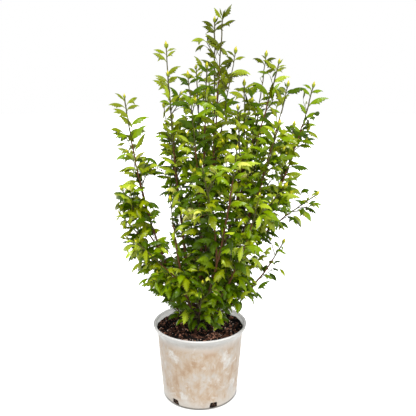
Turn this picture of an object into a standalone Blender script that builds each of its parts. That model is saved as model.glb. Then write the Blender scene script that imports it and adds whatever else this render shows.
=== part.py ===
"""A rose of sharon shrub growing in a round nursery pot, as separate solids.

Metres, +Z up. The origin is the centre of the pot's flat underside.
The shrub is a short trunk that forks into bare stems. Each stem carries one mass of leafy shoots,
and a skirt of low masses springs straight from the trunk.
"""

import math
import random

import bmesh
import bpy
import numpy as np
from mathutils import Vector
from mathutils.bvhtree import BVHTree

UP = Vector((0.0, 0.0, 1.0))
GAP = 0.0003  # clearance between two pieces that touch
GOLDEN_TURN = math.radians(137.5)  # turn from one leaf to the next round a stem

# Pot
POT_HEIGHT = 0.240
RIM_RADIUS = 0.146
RIM_BEAD = 0.0035  # radius of the rolled edge
FLARE_HEIGHT = 0.026  # the lip flares out over this height
SHOULDER_RADIUS = 0.1335  # wall just under the lip
BASE_RADIUS = 0.1168
BASE_ROUNDING = 0.008
WALL = 0.0022
POT_SIDES = 36
HOLES = 6
HOLE_WIDTH = 0.025
HOLE_LOW, HOLE_HIGH = 0.003, 0.023
HOLE_FIRST = math.radians(-69.0)  # the hole right of the front

# Potting mix
MIX_TOP = 0.222
MIX_LUMP = 0.003
MIX_RINGS = (0.84, 0.55)  # lumpy rings, as shares of its radius
SEAT_RADIUS = 0.036  # the level middle that the trunk stands on

# Trunk
TRUNK_FOOT = Vector((-0.010, 0.0, MIX_TOP + GAP))
TRUNK_LEAN = Vector((0.004, -0.002, 0.074))  # from its foot to its flat top
TRUNK_RADIUS = 0.0145
TRUNK_FLARE = 0.0065  # what the root flare adds at the foot
TRUNK_RINGS = (0.0, 0.10, 0.28, 0.60, 1.0)
LIMB_SEAT = 0.62  # how far out in the trunk a limb starts, as a share of its radius
TRUNK_SIDES = 12
ROOTS = 5
ROOT_DEPTH = 0.35  # how far the roots stand out of the flare

# Stems and shoots
STEM_RADIUS = 0.0048
SHOOT_RADIUS = 0.0019  # at the neck under a bud
TWIG_RADIUS = 0.0019
ROOT_TAPER = 2.0  # a shoot is pointed inside the one that carries it, over this many radii
BOUGH_SIDES = 6
SHOOT_SIDES = 3
BUD_LENGTH = 0.017
BUD_RADIUS = 0.0042
BUD_BELLY = 0.4  # share of its length where a bud is widest
FORK_SIZE = 0.8  # radius of a forking shoot, as a share of its stem's
FORK_REACH = 0.22  # how far a forking shoot runs on beside its stem before it turns off
FORK_SAG = 0.10

# Each stem: where it ends, and its knee as shares of the way out and of the way up.
# side is where it leaves the trunk, in degrees from +X, and height the share of the trunk there.
# bough is the share of it that is bare.
# leaders are (share of the stem where one forks off, where it ends).
STEMS = {
    "left": dict(
        tip=(-0.212, -0.02, 0.930), knee=(0.76, 0.36), side=173, height=0.37, bough=0.15,
        leaders=[
            (0.24, (-0.220, 0.02, 0.500)), (0.38, (-0.222, -0.06, 0.670)), (0.46, (-0.206, 0.05, 0.760)),
        ],
    ),
    "left_centre": dict(
        tip=(-0.096, 0.04, 1.072), knee=(0.60, 0.30), side=153, height=0.61, bough=0.15,
        leaders=[(0.42, (-0.085, -0.06, 0.990)), (0.50, (-0.110, 0.10, 0.900))],
    ),
    "centre_left": dict(
        tip=(0.022, -0.04, 1.012), knee=(0.40, 0.35), side=295, height=0.91, bough=0.14,
        leaders=[(0.38, (-0.028, -0.10, 0.985)), (0.46, (-0.010, 0.08, 1.015))],
    ),
    "centre": dict(
        tip=(0.070, 0.00, 1.180), knee=(0.55, 0.35), side=50, height=0.97, bough=0.14,
        leaders=[(0.55, (0.044, 0.03, 1.142)), (0.52, (0.101, -0.04, 1.052))],
    ),
    "right_centre": dict(
        tip=(0.227, 0.00, 1.026), knee=(0.52, 0.42), side=341, height=0.85, bough=0.14,
        leaders=[(0.50, (0.198, 0.08, 1.050)), (0.42, (0.150, 0.09, 0.880))],
    ),
    "right_mid": dict(
        tip=(0.243, -0.08, 0.962), knee=(0.60, 0.34), side=340, height=0.59, bough=0.15,
        leaders=[(0.52, (0.214, -0.14, 0.860)), (0.40, (0.235, -0.13, 0.690))],
    ),
    "right": dict(
        tip=(0.331, 0.02, 0.960), knee=(0.70, 0.38), side=4, height=0.38, bough=0.15,
        leaders=[(0.55, (0.288, 0.08, 0.842)), (0.40, (0.342, -0.03, 0.650))],
    ),
    "low_right": dict(
        tip=(0.249, -0.035, 0.505), knee=(0.62, 0.28), side=356, height=0.16, bough=0.22,
        leaders=[],
    ),
    "front": dict(
        tip=(0.100, -0.20, 0.802), knee=(0.66, 0.34), side=288, height=0.50, bough=0.18,
        leaders=[(0.45, (0.008, -0.21, 0.763))],
    ),
    "front_left": dict(
        tip=(-0.075, -0.18, 0.664), knee=(0.68, 0.34), side=252, height=0.29, bough=0.20,
        leaders=[(0.42, (-0.175, -0.12, 0.530))],
    ),
    "front_right": dict(
        tip=(0.160, -0.20, 0.680), knee=(0.68, 0.34), side=309, height=0.29, bough=0.20,
        leaders=[],
    ),
    "back": dict(
        tip=(0.030, 0.19, 0.985), knee=(0.64, 0.34), side=77, height=0.72, bough=0.15,
        leaders=[(0.45, (-0.050, 0.21, 0.880)), (0.42, (0.090, 0.23, 0.780))],
    ),
    "back_left": dict(
        tip=(-0.090, 0.20, 0.860), knee=(0.68, 0.34), side=114, height=0.49, bough=0.17,
        leaders=[(0.42, (-0.205, 0.13, 0.660))],
    ),
    "back_right": dict(
        tip=(0.190, 0.19, 0.875), knee=(0.68, 0.34), side=46, height=0.50, bough=0.18,
        leaders=[(0.42, (0.262, 0.15, 0.710))],
    ),
    "back_low": dict(
        tip=(0.010, 0.25, 0.600), knee=(0.66, 0.32), side=75, height=0.22, bough=0.20,
        leaders=[],
    ),
}

# Low masses that spring from the trunk itself: the side where they leave it, and where they end.
SKIRT = {
    "front": (278, (0.010, -0.150, 0.420)),
    "front_left": (226, (-0.120, -0.100, 0.430)),
    "front_right": (314, (0.125, -0.092, 0.430)),
    "right": (42, (0.125, 0.060, 0.440)),
    "back": (111, (-0.055, 0.132, 0.430)),
    "back_left": (172, (-0.135, 0.025, 0.440)),
}
SKIRT_HEIGHT = 0.13  # share of the trunk's height where they leave it
SKIRT_KNEE = (0.75, 0.45)
SKIRT_RADIUS = 0.0026

# Leafing rule
BOUGH_PIECES = 3
LEADER_PIECES = 4
BRANCH_PIECES = 2
CURVE_STEPS = 24  # to measure a curve
TWIG_STEP = 0.095  # between side twigs on a leader
FIRST_TWIG, LAST_TWIG = 0.067, 0.85  # its distance from the root, and the last one's share of the way
TWIG_LENGTH = 0.100
TWIG_SHORTENING = 0.72  # how much shorter a twig is at the leader's tip than at its root
TWIG_ANGLE = math.radians(50)
TWIG_LIFT = 0.25
SHORTEST_TWIG = 0.030
TWIG_SHRINK = 0.75  # for another try at a shorter length
STEP_SPREAD = (0.85, 1.15)  # scatter of steps and twig lengths
LEAF_STEP = 0.045
SPRAY_STEP = 0.032  # between leaves on a side twig
BARE_FOOT = 0.016  # the part of a twig with no leaves
LEAF_LENGTH = 0.084
LEAF_SPREAD = (0.85, 1.12)
LEAF_WIDTH = 0.66  # share of the length
LEAF_THICKNESS = 0.024  # share of the length, at its thickest
LEAF_FOLD = 0.055  # how far the sides stand above the midrib, as a share of the length
RIB_SINK = 0.4  # how far the midrib lies below the level of the stalk, as a share of the fold
LEAF_MIDDLE = 0.47  # where it is widest
LEAF_ANGLE = math.radians(60)
LOW_DROOP, HIGH_DROOP = 2.0, 0.7  # how a leaf hangs at the foot of the crown and at its top
DROOP_SPREAD = (0.8, 1.2)
CROWN_FOOT, CROWN_TOP = 0.30, 1.10
LEAF_ROLL = 0.5
LEADER_SHORTENING = 0.3  # how much smaller the leaves are at a leader's tip
SPRAY_LEAF = 0.95
TIP_LEAF = 0.58  # size of the leaves round a bud
TIP_STEP = 0.006
TIP_LEAVES = 3
LEAF_TRIES = 9
TRY_STEP, TRY_TURN, TRY_SHRINK = 0.0015, 2.1, 0.965  # what another try changes
STALK_SHARE = 0.12  # the part of a leaf that may sink into its own twig
SAMPLE_STEP = 0.01  # along the shoots, to tell whose space a point is in
SPACE_OVERLAP = 0.010  # how far neighbouring masses reach in between each other
LIMB_MARGIN = 0.0012  # air kept round every limb and twig
OVER_MIX = 0.65  # within this share of the rim's radius, leaves may hang below the rim
RIM_MARGIN = 0.004  # air kept over the pot's rim
MIX_MARGIN = 0.008  # air kept over the mix

BARK = dict(base_color=(0.19, 0.12, 0.07), roughness=0.8)
FOLIAGE = dict(base_color=(0.14, 0.25, 0.03), roughness=0.5)
PLASTIC = dict(base_color=(0.72, 0.65, 0.56), roughness=0.45)
MIX = dict(base_color=(0.055, 0.030, 0.020), roughness=0.95)


def clear_scene():
    for obj in list(bpy.data.objects):
        bpy.data.objects.remove(obj, do_unlink=True)


def material(name, base_color, roughness):
    made = bpy.data.materials.new(name)
    made.use_nodes = True
    shader = made.node_tree.nodes["Principled BSDF"]
    shader.inputs["Base Color"].default_value = (*base_color, 1.0)
    shader.inputs["Roughness"].default_value = roughness
    shader.inputs["Metallic"].default_value = 0.0
    return made


def add_object(name, shape, finish):
    mesh = bpy.data.meshes.new(name)
    mesh.from_pydata([tuple(p) for p in shape[0]], [], shape[1])
    mesh.materials.append(finish)
    obj = bpy.data.objects.new(name, mesh)
    bpy.context.scene.collection.objects.link(obj)
    return obj


def cut_with(obj, name, cutter, solver="EXACT"):
    cutter.hide_render = True
    cutter.display_type = "WIRE"
    cut = obj.modifiers.new(name, "BOOLEAN")
    cut.operation = "DIFFERENCE"
    cut.solver = solver
    cut.object = cutter


def around(sides):
    return [2 * math.pi * k / sides for k in range(sides)]


def ring_walls(rings, sides):
    """Quads between neighbouring rings of corners that are numbered ring by ring."""
    faces = []
    for ring in range(rings - 1):
        for k in range(sides):
            a, b = ring * sides + k, ring * sides + (k + 1) % sides
            faces.append((a, b, b + sides, a + sides))
    return faces


# Pot and potting mix

def turned(profile, lumpy=(), rng=None):
    """A closed solid turned from (radius, height) points, with both ends fanned to the axis."""
    corners = []
    for n, (radius, height) in enumerate(profile):
        for turn in around(POT_SIDES):
            lump = rng.uniform(-MIX_LUMP, MIX_LUMP) if n in lumpy else 0.0
            corners.append(Vector((radius * math.cos(turn), radius * math.sin(turn), height + lump)))
    faces = ring_walls(len(profile), POT_SIDES)
    last = len(corners) - POT_SIDES
    corners += [Vector((0.0, 0.0, profile[0][1])), Vector((0.0, 0.0, profile[-1][1]))]
    for k in range(POT_SIDES):
        beside = (k + 1) % POT_SIDES
        faces.append((beside, k, len(corners) - 2))
        faces.append((last + k, last + beside, len(corners) - 1))
    return corners, faces


def shoulder_height():
    return POT_HEIGHT - FLARE_HEIGHT


def wall_radius(height):
    share = min(height / shoulder_height(), 1.0)
    return BASE_RADIUS + (SHOULDER_RADIUS - BASE_RADIUS) * share


def arc(radius, height, size, first, last, count):
    """Points of an arc round (radius, height), from one angle to another, in degrees."""
    turns = [math.radians(first + (last - first) * k / (count - 1)) for k in range(count)]
    return [(radius + size * math.cos(t), height + size * math.sin(t)) for t in turns]


def pot_profile():
    """The wall's section from its foot up the outside, over the bead and down the inside."""
    foot = arc(BASE_RADIUS - BASE_ROUNDING, BASE_ROUNDING, BASE_ROUNDING, -90, 0, 3)
    reach = RIM_RADIUS - SHOULDER_RADIUS
    rise = FLARE_HEIGHT - 2 * RIM_BEAD
    flare = [
        (SHOULDER_RADIUS + reach * share**2, shoulder_height() + rise * share)
        for share in (0.0, 0.45, 0.80)
    ]
    bead = arc(RIM_RADIUS - RIM_BEAD, POT_HEIGHT - RIM_BEAD, RIM_BEAD, -10, 180, 4)
    inside = [
        (SHOULDER_RADIUS + 0.25 * reach - WALL, POT_HEIGHT - 0.5 * FLARE_HEIGHT),
        (SHOULDER_RADIUS - WALL, shoulder_height()),
        (wall_radius(BASE_ROUNDING) - WALL, BASE_ROUNDING),
        (BASE_RADIUS - BASE_ROUNDING, WALL),
    ]
    return foot + flare + bead + inside


def make_pot():
    pot = add_object("pot", turned(pot_profile()), material("moulded_plastic", **PLASTIC))
    depth = 6 * WALL + BASE_ROUNDING
    for k, turn in enumerate(around(HOLES)):
        turn += HOLE_FIRST
        mesh = bpy.data.meshes.new("drain_hole")
        block = bmesh.new()
        bmesh.ops.create_cube(block, size=1.0)
        bmesh.ops.scale(block, vec=(depth, HOLE_WIDTH, HOLE_HIGH - HOLE_LOW), verts=block.verts)
        block.to_mesh(mesh)
        block.free()
        hole = bpy.data.objects.new(f"drain_hole_{k}", mesh)
        bpy.context.scene.collection.objects.link(hole)
        middle = (HOLE_LOW + HOLE_HIGH) / 2
        hole.location = (BASE_RADIUS * math.cos(turn), BASE_RADIUS * math.sin(turn), middle)
        hole.rotation_euler = (0.0, 0.0, turn)
        cut_with(pot, f"drain_hole_{k}", hole, solver="MANIFOLD")


def make_mix():
    """The potting mix, clear of the pot all round, with a lumpy top round a level seat."""
    clear = WALL + GAP
    top = wall_radius(MIX_TOP) - clear
    profile = [
        (BASE_RADIUS - BASE_ROUNDING - GAP, clear),
        (wall_radius(BASE_ROUNDING) - clear, BASE_ROUNDING + GAP),
        (SHOULDER_RADIUS - clear, MIX_TOP - 2 * MIX_LUMP),
    ]
    lumpy = range(len(profile), len(profile) + len(MIX_RINGS))
    profile += [(top * share, MIX_TOP) for share in MIX_RINGS]
    profile.append((SEAT_RADIUS, MIX_TOP))
    shape = turned(profile, lumpy, random.Random("mix"))
    add_object("potting_mix", shape, material("bark_mix", **MIX))


# Curves and limbs

def bezier(start, knee, end, share):
    rest = 1 - share
    return start * rest**2 + knee * (2 * share * rest) + end * share**2


def slope(start, knee, end, share):
    """How a curve moves on at a share of it."""
    return ((knee - start) * (1 - share) + (end - knee) * share) * 2


def across(direction):
    """Two unit vectors square to a direction: one level, one that leans up."""
    level = direction.cross(UP)
    if level.length < 0.05:
        level = direction.cross(Vector((0.0, 1.0, 0.0)))
    level.normalize()
    return level, level.cross(direction).normalized()


class Shoot:
    """A tapering limb along a line of points. A first or last radius of 0 makes that end a point.

    headings gives the way that some of its rings face, by their number.
    """

    def __init__(self, points, radii, sides=SHOOT_SIDES, headings=None):
        self.points, self.radii, self.sides = points, radii, sides
        self.steps = [(b - a).length for a, b in zip(points, points[1:])]
        self.length = sum(self.steps)
        self.frames = []
        level = None
        for i in range(len(points)):
            before, after = points[max(i - 1, 0)], points[min(i + 1, len(points) - 1)]
            direction = (headings or {}).get(i, after - before).normalized()
            level = level or across(direction)[0]
            level = (level - direction * level.dot(direction)).normalized()
            self.frames.append((direction, level, direction.cross(level)))

    def shape(self, margin=0.0):
        corners = []
        for centre, radius, (_, first, second) in zip(self.points, self.radii, self.frames):
            if radius > 0:
                for turn in around(self.sides):
                    outward = first * math.cos(turn) + second * math.sin(turn)
                    corners.append(centre + outward * (radius + margin))
        rings, last = len(corners) // self.sides, len(corners) - self.sides
        faces = ring_walls(rings, self.sides)
        if self.radii[0] > 0:
            faces.append(tuple(reversed(range(self.sides))))
        else:
            corners.append(self.points[0].copy())
            root = len(corners) - 1
            faces += [((k + 1) % self.sides, k, root) for k in range(self.sides)]
        if self.radii[-1] > 0:
            faces.append(tuple(range(last, last + self.sides)))
        else:
            corners.append(self.points[-1].copy())
            end = len(corners) - 1
            faces += [(last + k, last + (k + 1) % self.sides, end) for k in range(self.sides)]
        return corners, faces

    def at(self, distance):
        """(point, direction, first and second cross axis, radius) a distance along it."""
        for i, step in enumerate(self.steps):
            if distance <= step or i == len(self.steps) - 1:
                share = min(distance / step, 1.0)
                direction = (self.points[i + 1] - self.points[i]).normalized()
                _, first, second = self.frames[i]
                radius = self.radii[i] + (self.radii[i + 1] - self.radii[i]) * share
                return self.points[i].lerp(self.points[i + 1], share), direction, first, second, radius
            distance -= step

    def outward(self, distance, turn, angle):
        """A heading that leaves it through the middle of one of its flat sides."""
        _, direction, first, second, _ = self.at(distance)
        side = 2 * math.pi / self.sides
        turn = (math.floor(turn / side) + 0.5) * side
        out = first * math.cos(turn) + second * math.sin(turn)
        return (direction * math.cos(angle) + out * math.sin(angle)).normalized()


# Trunk and bare stems

def trunk_shape(margin=0.0):
    """The trunk, with root lobes at its foot. A margin makes it larger all round."""
    corners = []
    for share in TRUNK_RINGS:
        centre = TRUNK_FOOT + TRUNK_LEAN * share + UP * (margin * (2 * share - 1))
        flare = TRUNK_FLARE * (1 - share) ** 4
        for turn in around(TRUNK_SIDES):
            radius = TRUNK_RADIUS + flare * (1 + ROOT_DEPTH * math.cos(ROOTS * turn)) + margin
            corners.append(centre + Vector((math.cos(turn), math.sin(turn), 0.0)) * radius)
    faces = ring_walls(len(TRUNK_RINGS), TRUNK_SIDES)
    faces.append(tuple(reversed(range(TRUNK_SIDES))))
    faces.append(tuple(range(len(corners) - TRUNK_SIDES, len(corners))))
    return corners, faces


def trunk_line(tip, height, knee, side):
    """(start, knee, tip) of a limb that starts inside the trunk, near one side of it."""
    side = math.radians(side)
    outward = Vector((math.cos(side), math.sin(side), 0.0))
    start = TRUNK_FOOT + TRUNK_LEAN * height + outward * (TRUNK_RADIUS * LIMB_SEAT)
    run = Vector(tip) - start
    return start, start + Vector((run.x, run.y, 0.0)) * knee[0] + UP * (run.z * knee[1]), Vector(tip)


def stem_radius(share):
    return SHOOT_RADIUS + (STEM_RADIUS - SHOOT_RADIUS) * (1 - share)


def make_boughs(lines, cutter, bark):
    """The bare foot of each stem, trimmed 0.3 mm clear of the trunk."""
    boughs = []
    for name, line in lines.items():
        shares = [STEMS[name]["bough"] * k / BOUGH_PIECES for k in range(BOUGH_PIECES + 1)]
        points, radii = [bezier(*line, t) for t in shares], [stem_radius(t) for t in shares]
        bough = Shoot(points, radii, BOUGH_SIDES, {BOUGH_PIECES: slope(*line, shares[-1])})
        obj = add_object(f"stem_{name}", bough.shape(), bark)
        cut_with(obj, "trunk", cutter)
        boughs.append(bough)
    return boughs


# Leafy masses

def leader(line, low, pieces, radius, forked=False):
    """A shoot along a curve from share low on, which ends in a pointed bud."""
    places = [low + (1 - low) * k / CURVE_STEPS for k in range(CURVE_STEPS + 1)]
    whole = Shoot([bezier(*line, share) for share in places], [1.0] * len(places))
    neck, belly = whole.length - BUD_LENGTH, whole.length - BUD_LENGTH * (1 - BUD_BELLY)
    shares = [k / pieces for k in range(pieces + 1)]
    radii = [radius + (SHOOT_RADIUS - radius) * share for share in shares]
    if forked:
        shares = [0.0, radius * ROOT_TAPER / neck] + shares[1:]
        radii = [0.0] + radii
    points = [whole.at(neck * share)[0] for share in shares] + [whole.at(belly)[0], whole.points[-1]]
    return Shoot(points, radii + [BUD_RADIUS, 0.0], headings={0: slope(*line, low)})


def stem_leaders(spec, line):
    """The shoot that carries on 0.3 mm past the end of a bare stem, and the ones that fork off it."""
    low = spec["bough"] + GAP / slope(*line, spec["bough"]).length
    leaders = [leader(line, low, LEADER_PIECES, stem_radius(low))]
    for share, tip in spec["leaders"]:
        root, tip = bezier(*line, share), Vector(tip)
        ahead, reach = slope(*line, share).normalized(), tip - root
        knee = root + (ahead + reach.normalized()) * (reach.length * FORK_REACH) - UP * (FORK_SAG * reach.z)
        radius = stem_radius(share) * FORK_SIZE
        leaders.append(leader((root, knee, tip), 0.0, BRANCH_PIECES, radius, forked=True))
    return leaders


def skirt_leader(side, tip):
    """A low shoot from inside the trunk, which arches out over the mix."""
    return leader(trunk_line(tip, SKIRT_HEIGHT, SKIRT_KNEE, side), 0.0, BRANCH_PIECES, SKIRT_RADIUS)


def grown_twig(parent, distance, turn, length):
    """A side twig: it leaves its shoot at an angle, lifts a little and runs out to a point."""
    root = parent.at(distance)[0]
    heading = (parent.outward(distance, turn, TWIG_ANGLE) + UP * TWIG_LIFT).normalized()
    neck = root + heading * (TWIG_RADIUS * ROOT_TAPER)
    return Shoot([root, neck, root + heading * length], [0.0, TWIG_RADIUS, 0.0])


def grown_leaf(parent, distance, turn, length, droop, roll):
    """An eight-faced leaf: it rises from its twig, arches and hangs, with its midrib sunk.

    Its middle section lies square to the line from root to tip, so both halves keep their thickness.
    """
    root = parent.at(distance)[0]
    heading = parent.outward(distance, turn, LEAF_ANGLE)
    middle = root + heading * (length * LEAF_MIDDLE)
    tip = middle + (heading - UP * droop).normalized() * (length * (1 - LEAF_MIDDLE))
    side = across(heading)[0]
    side = (side + heading.cross(side) * roll).normalized()
    normal = side.cross(tip - root).normalized()
    wing, fold = side * (length * LEAF_WIDTH / 2), normal * (length * LEAF_FOLD)
    rib, half = middle - fold * RIB_SINK, normal * (length * LEAF_THICKNESS / 2)
    corners = [root, middle - wing + fold, middle + wing + fold, tip, rib + half, rib - half]
    faces = [
        (0, 2, 4), (2, 3, 4), (3, 1, 4), (1, 0, 4),
        (2, 0, 5), (3, 2, 5), (1, 3, 5), (0, 1, 5),
    ]
    return corners, faces


def tree_of(shapes):
    corners, faces = [], []
    for points, polygons in shapes:
        start = len(corners)
        corners += points
        faces += [tuple(start + i for i in face) for face in polygons]
    return BVHTree.FromPolygons(corners, faces) if corners else None


def is_clear(shape, *trees):
    tree = tree_of([shape])
    return not any(other and tree.overlap(other) for other in trees)


def past_root(leaf):
    """A leaf without the end that sinks into its twig."""
    corners, faces = leaf
    return [corners[0].lerp(corners[3], STALK_SHARE)] + corners[1:], faces


class Mass:
    """One mass of foliage: its leaders, then the twigs and leaves that the rule adds."""

    def __init__(self, name, leaders):
        self.name, self.leaders = name, leaders
        self.twigs = []
        self.leaves = []
        places = [
            shoot.at(shoot.length * k / count)[0]
            for shoot in leaders
            for count in [max(int(shoot.length / SAMPLE_STEP), 2)]
            for k in range(count + 1)
        ]
        self.samples = np.array([tuple(p) for p in places])

    def wood(self, margin=LIMB_MARGIN):
        return [shoot.shape(margin) for shoot in self.leaders + self.twigs]


def nearest(points, samples):
    return np.sqrt(((points[:, None] - samples[None]) ** 2).sum(2)).min(1)


def in_space(mass, masses, corners):
    """Whether corners are over the pot and nearer to their own mass's leaders than to others."""
    places = np.array([tuple(p) for p in corners])
    inside = np.hypot(places[:, 0], places[:, 1]) < OVER_MIX * RIM_RADIUS
    lowest = np.where(inside, MIX_TOP + MIX_LUMP + MIX_MARGIN, POT_HEIGHT + RIM_MARGIN)
    if (places[:, 2] < lowest).any():
        return False
    others = np.concatenate([m.samples for m in masses if m is not mass])
    return bool((nearest(places, mass.samples) < nearest(places, others) + SPACE_OVERLAP).all())


def add_twigs(mass, masses, limbs):
    """Side twigs round each leader, shorter towards its tip."""
    for n, shoot in enumerate(mass.leaders):
        rng = random.Random(f"{mass.name} twigs {n}")
        along, turn = FIRST_TWIG, rng.uniform(0, 2 * math.pi)
        others = tree_of([s for m in masses if m is not mass for s in m.wood()])
        while along < shoot.length * LAST_TWIG:
            length = TWIG_LENGTH * (1 - TWIG_SHORTENING * along / shoot.length)
            length *= rng.uniform(*STEP_SPREAD)
            while length > SHORTEST_TWIG:
                twig = grown_twig(shoot, along, turn, length)
                own = tree_of([t.shape() for t in mass.twigs])
                if in_space(mass, masses, twig.points[1:]) and is_clear(twig.shape(), limbs, others, own):
                    mass.twigs.append(twig)
                    break
                length *= TWIG_SHRINK
            turn += GOLDEN_TURN
            along += TWIG_STEP * rng.uniform(*STEP_SPREAD)


def leaf_places(mass):
    """(shoot, distance, turn, share of full size) of each leaf that the rule asks for."""
    places = []
    for n, shoot in enumerate(mass.leaders):
        rng = random.Random(f"{mass.name} leaves {n}")
        neck = shoot.length - BUD_LENGTH
        along, turn = BARE_FOOT, rng.uniform(0, 2 * math.pi)
        while along < neck - TIP_LEAVES * TIP_STEP:
            places.append((shoot, along, turn, 1.0 - LEADER_SHORTENING * along / shoot.length))
            turn += GOLDEN_TURN
            along += LEAF_STEP * rng.uniform(*STEP_SPREAD)
        for k in range(TIP_LEAVES):
            places.append((shoot, neck - TIP_STEP * k, turn + 2 * math.pi * k / TIP_LEAVES, TIP_LEAF))
    for n, twig in enumerate(mass.twigs):
        rng = random.Random(f"{mass.name} spray {n}")
        along, turn = twig.length - TIP_STEP, rng.uniform(0, 2 * math.pi)
        while along > BARE_FOOT:
            places.append((twig, along, turn, SPRAY_LEAF))
            turn += GOLDEN_TURN
            along -= SPRAY_STEP
    return places


def add_leaves(mass, masses, limbs):
    """Each leaf turns round its twig, and shrinks a little, until it is clear or is left out."""
    rng = random.Random(f"{mass.name} blades")
    others = [m for m in masses if m is not mass]
    foreign = tree_of([s for m in others for s in m.wood()] + [s for m in others for s in m.leaves])
    wood, own = tree_of(mass.wood(0.0)), None
    for shoot, along, turn, size in leaf_places(mass):
        length = LEAF_LENGTH * size * rng.uniform(*LEAF_SPREAD)
        level = (shoot.at(along)[0].z - CROWN_FOOT) / (CROWN_TOP - CROWN_FOOT)
        droop = LOW_DROOP + (HIGH_DROOP - LOW_DROOP) * min(max(level, 0.0), 1.0)
        droop *= rng.uniform(*DROOP_SPREAD)
        roll = rng.uniform(-LEAF_ROLL, LEAF_ROLL)
        for k in range(LEAF_TRIES):
            place, shrunk = along + TRY_STEP * k, length * TRY_SHRINK**k
            leaf = grown_leaf(shoot, place, turn + TRY_TURN * k, shrunk, droop, roll)
            if not in_space(mass, masses, leaf[0][1:]) or not is_clear(past_root(leaf), wood):
                continue
            if is_clear(leaf, limbs, own, foreign):
                mass.leaves.append(leaf)
                own = tree_of(mass.leaves)
                break


def fused(mass, finish):
    """The mass as one body: a Boolean union of its leaders, twigs and leaves."""
    stem = add_object(f"foliage_{mass.name}", mass.leaders[0].shape(), finish)
    group = bpy.data.collections.new("pieces")
    bpy.context.scene.collection.children.link(group)
    shapes = [shoot.shape() for shoot in mass.leaders[1:] + mass.twigs] + mass.leaves
    for shape in shapes:
        piece = add_object("piece", shape, finish)
        bpy.context.scene.collection.objects.unlink(piece)
        group.objects.link(piece)
    join = stem.modifiers.new("join", "BOOLEAN")
    join.operation = "UNION"
    join.operand_type = "COLLECTION"
    join.collection = group
    join.solver = "MANIFOLD"
    joined = stem.evaluated_get(bpy.context.evaluated_depsgraph_get())
    mesh = bpy.data.meshes.new_from_object(joined)
    stem.modifiers.remove(join)
    stem.data = mesh
    for piece in list(group.objects):
        bpy.data.objects.remove(piece, do_unlink=True)
    bpy.data.collections.remove(group)
    drop_scraps(mesh)
    return stem


def drop_scraps(mesh):
    """Keeps only the largest body of a mesh."""
    shape = bmesh.new()
    shape.from_mesh(mesh)
    left, bodies = set(shape.verts), []
    while left:
        edge = [left.pop()]
        body = set(edge)
        while edge:
            corner = edge.pop()
            for other in [link.other_vert(corner) for link in corner.link_edges]:
                if other in left:
                    left.discard(other)
                    body.add(other)
                    edge.append(other)
        bodies.append(body)
    bodies.sort(key=len)
    for body in bodies[:-1]:
        bmesh.ops.delete(shape, geom=list(body), context="VERTS")
    shape.to_mesh(mesh)
    shape.free()


def main():
    clear_scene()
    bark = material("bark", **BARK)
    foliage = material("foliage", **FOLIAGE)
    make_pot()
    make_mix()
    add_object("trunk", trunk_shape(), bark)
    cutter = add_object("trunk_clearance", trunk_shape(GAP), bark)
    lines = {n: trunk_line(s["tip"], s["height"], s["knee"], s["side"]) for n, s in STEMS.items()}
    boughs = make_boughs(lines, cutter, bark)
    limbs = tree_of([bough.shape(LIMB_MARGIN) for bough in boughs] + [trunk_shape(LIMB_MARGIN)])
    masses = [Mass(name, stem_leaders(STEMS[name], line)) for name, line in lines.items()]
    masses += [Mass(f"skirt_{name}", [skirt_leader(*spec)]) for name, spec in SKIRT.items()]
    for mass in masses:
        add_twigs(mass, masses, limbs)
    for mass in masses:
        add_leaves(mass, masses, limbs)
        obj = fused(mass, foliage)
        if mass.name.startswith("skirt"):
            cut_with(obj, "trunk", cutter)
    print(sum(len(mass.leaves) for mass in masses), "leaves")


main()
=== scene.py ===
# A rose of sharon shrub in a marbled nursery pot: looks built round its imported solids.
# Metres, +Z up, origin at the centre of the pot's flat underside.

import math
import random

import bmesh
import bpy
import numpy as np
from mathutils import Matrix, Vector
from mathutils.kdtree import KDTree


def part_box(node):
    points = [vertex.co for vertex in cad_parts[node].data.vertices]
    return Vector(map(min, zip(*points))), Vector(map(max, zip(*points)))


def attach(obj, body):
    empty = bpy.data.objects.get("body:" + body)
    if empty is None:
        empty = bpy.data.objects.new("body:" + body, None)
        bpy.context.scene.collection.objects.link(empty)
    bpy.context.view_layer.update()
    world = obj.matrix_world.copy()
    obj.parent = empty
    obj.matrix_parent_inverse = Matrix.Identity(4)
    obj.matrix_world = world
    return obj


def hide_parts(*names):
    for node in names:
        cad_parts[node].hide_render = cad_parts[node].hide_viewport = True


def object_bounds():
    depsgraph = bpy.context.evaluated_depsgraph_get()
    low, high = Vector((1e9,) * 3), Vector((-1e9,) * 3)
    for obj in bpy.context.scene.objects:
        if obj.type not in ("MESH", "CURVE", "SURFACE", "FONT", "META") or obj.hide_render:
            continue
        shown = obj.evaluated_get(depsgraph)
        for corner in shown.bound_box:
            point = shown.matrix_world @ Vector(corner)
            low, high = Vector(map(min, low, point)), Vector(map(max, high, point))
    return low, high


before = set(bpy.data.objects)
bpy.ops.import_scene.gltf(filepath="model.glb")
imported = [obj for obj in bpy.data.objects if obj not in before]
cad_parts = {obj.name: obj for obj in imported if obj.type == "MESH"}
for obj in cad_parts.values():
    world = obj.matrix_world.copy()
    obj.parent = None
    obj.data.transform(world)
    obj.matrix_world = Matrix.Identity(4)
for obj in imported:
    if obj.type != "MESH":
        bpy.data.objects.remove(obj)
cadLow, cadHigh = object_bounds()
up = Vector((0.0, 0.0, 1.0))
goldenTurn = math.radians(137.5)  # from one leaf to the next round a stem
rootBody = "root"  # nothing on the plant moves


# Small helpers

def linear(hexColour):
    # an sRGB hex colour as linear RGBA
    parts = [int(hexColour[i:i + 2], 16) / 255 for i in (1, 3, 5)]
    return (*[p / 12.92 if p <= 0.04045 else ((p + 0.055) / 1.055) ** 2.4 for p in parts], 1.0)


def perMetre(millimetres):
    # the scale of a pattern that repeats at a size in millimetres
    return 1000.0 / millimetres


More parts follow.
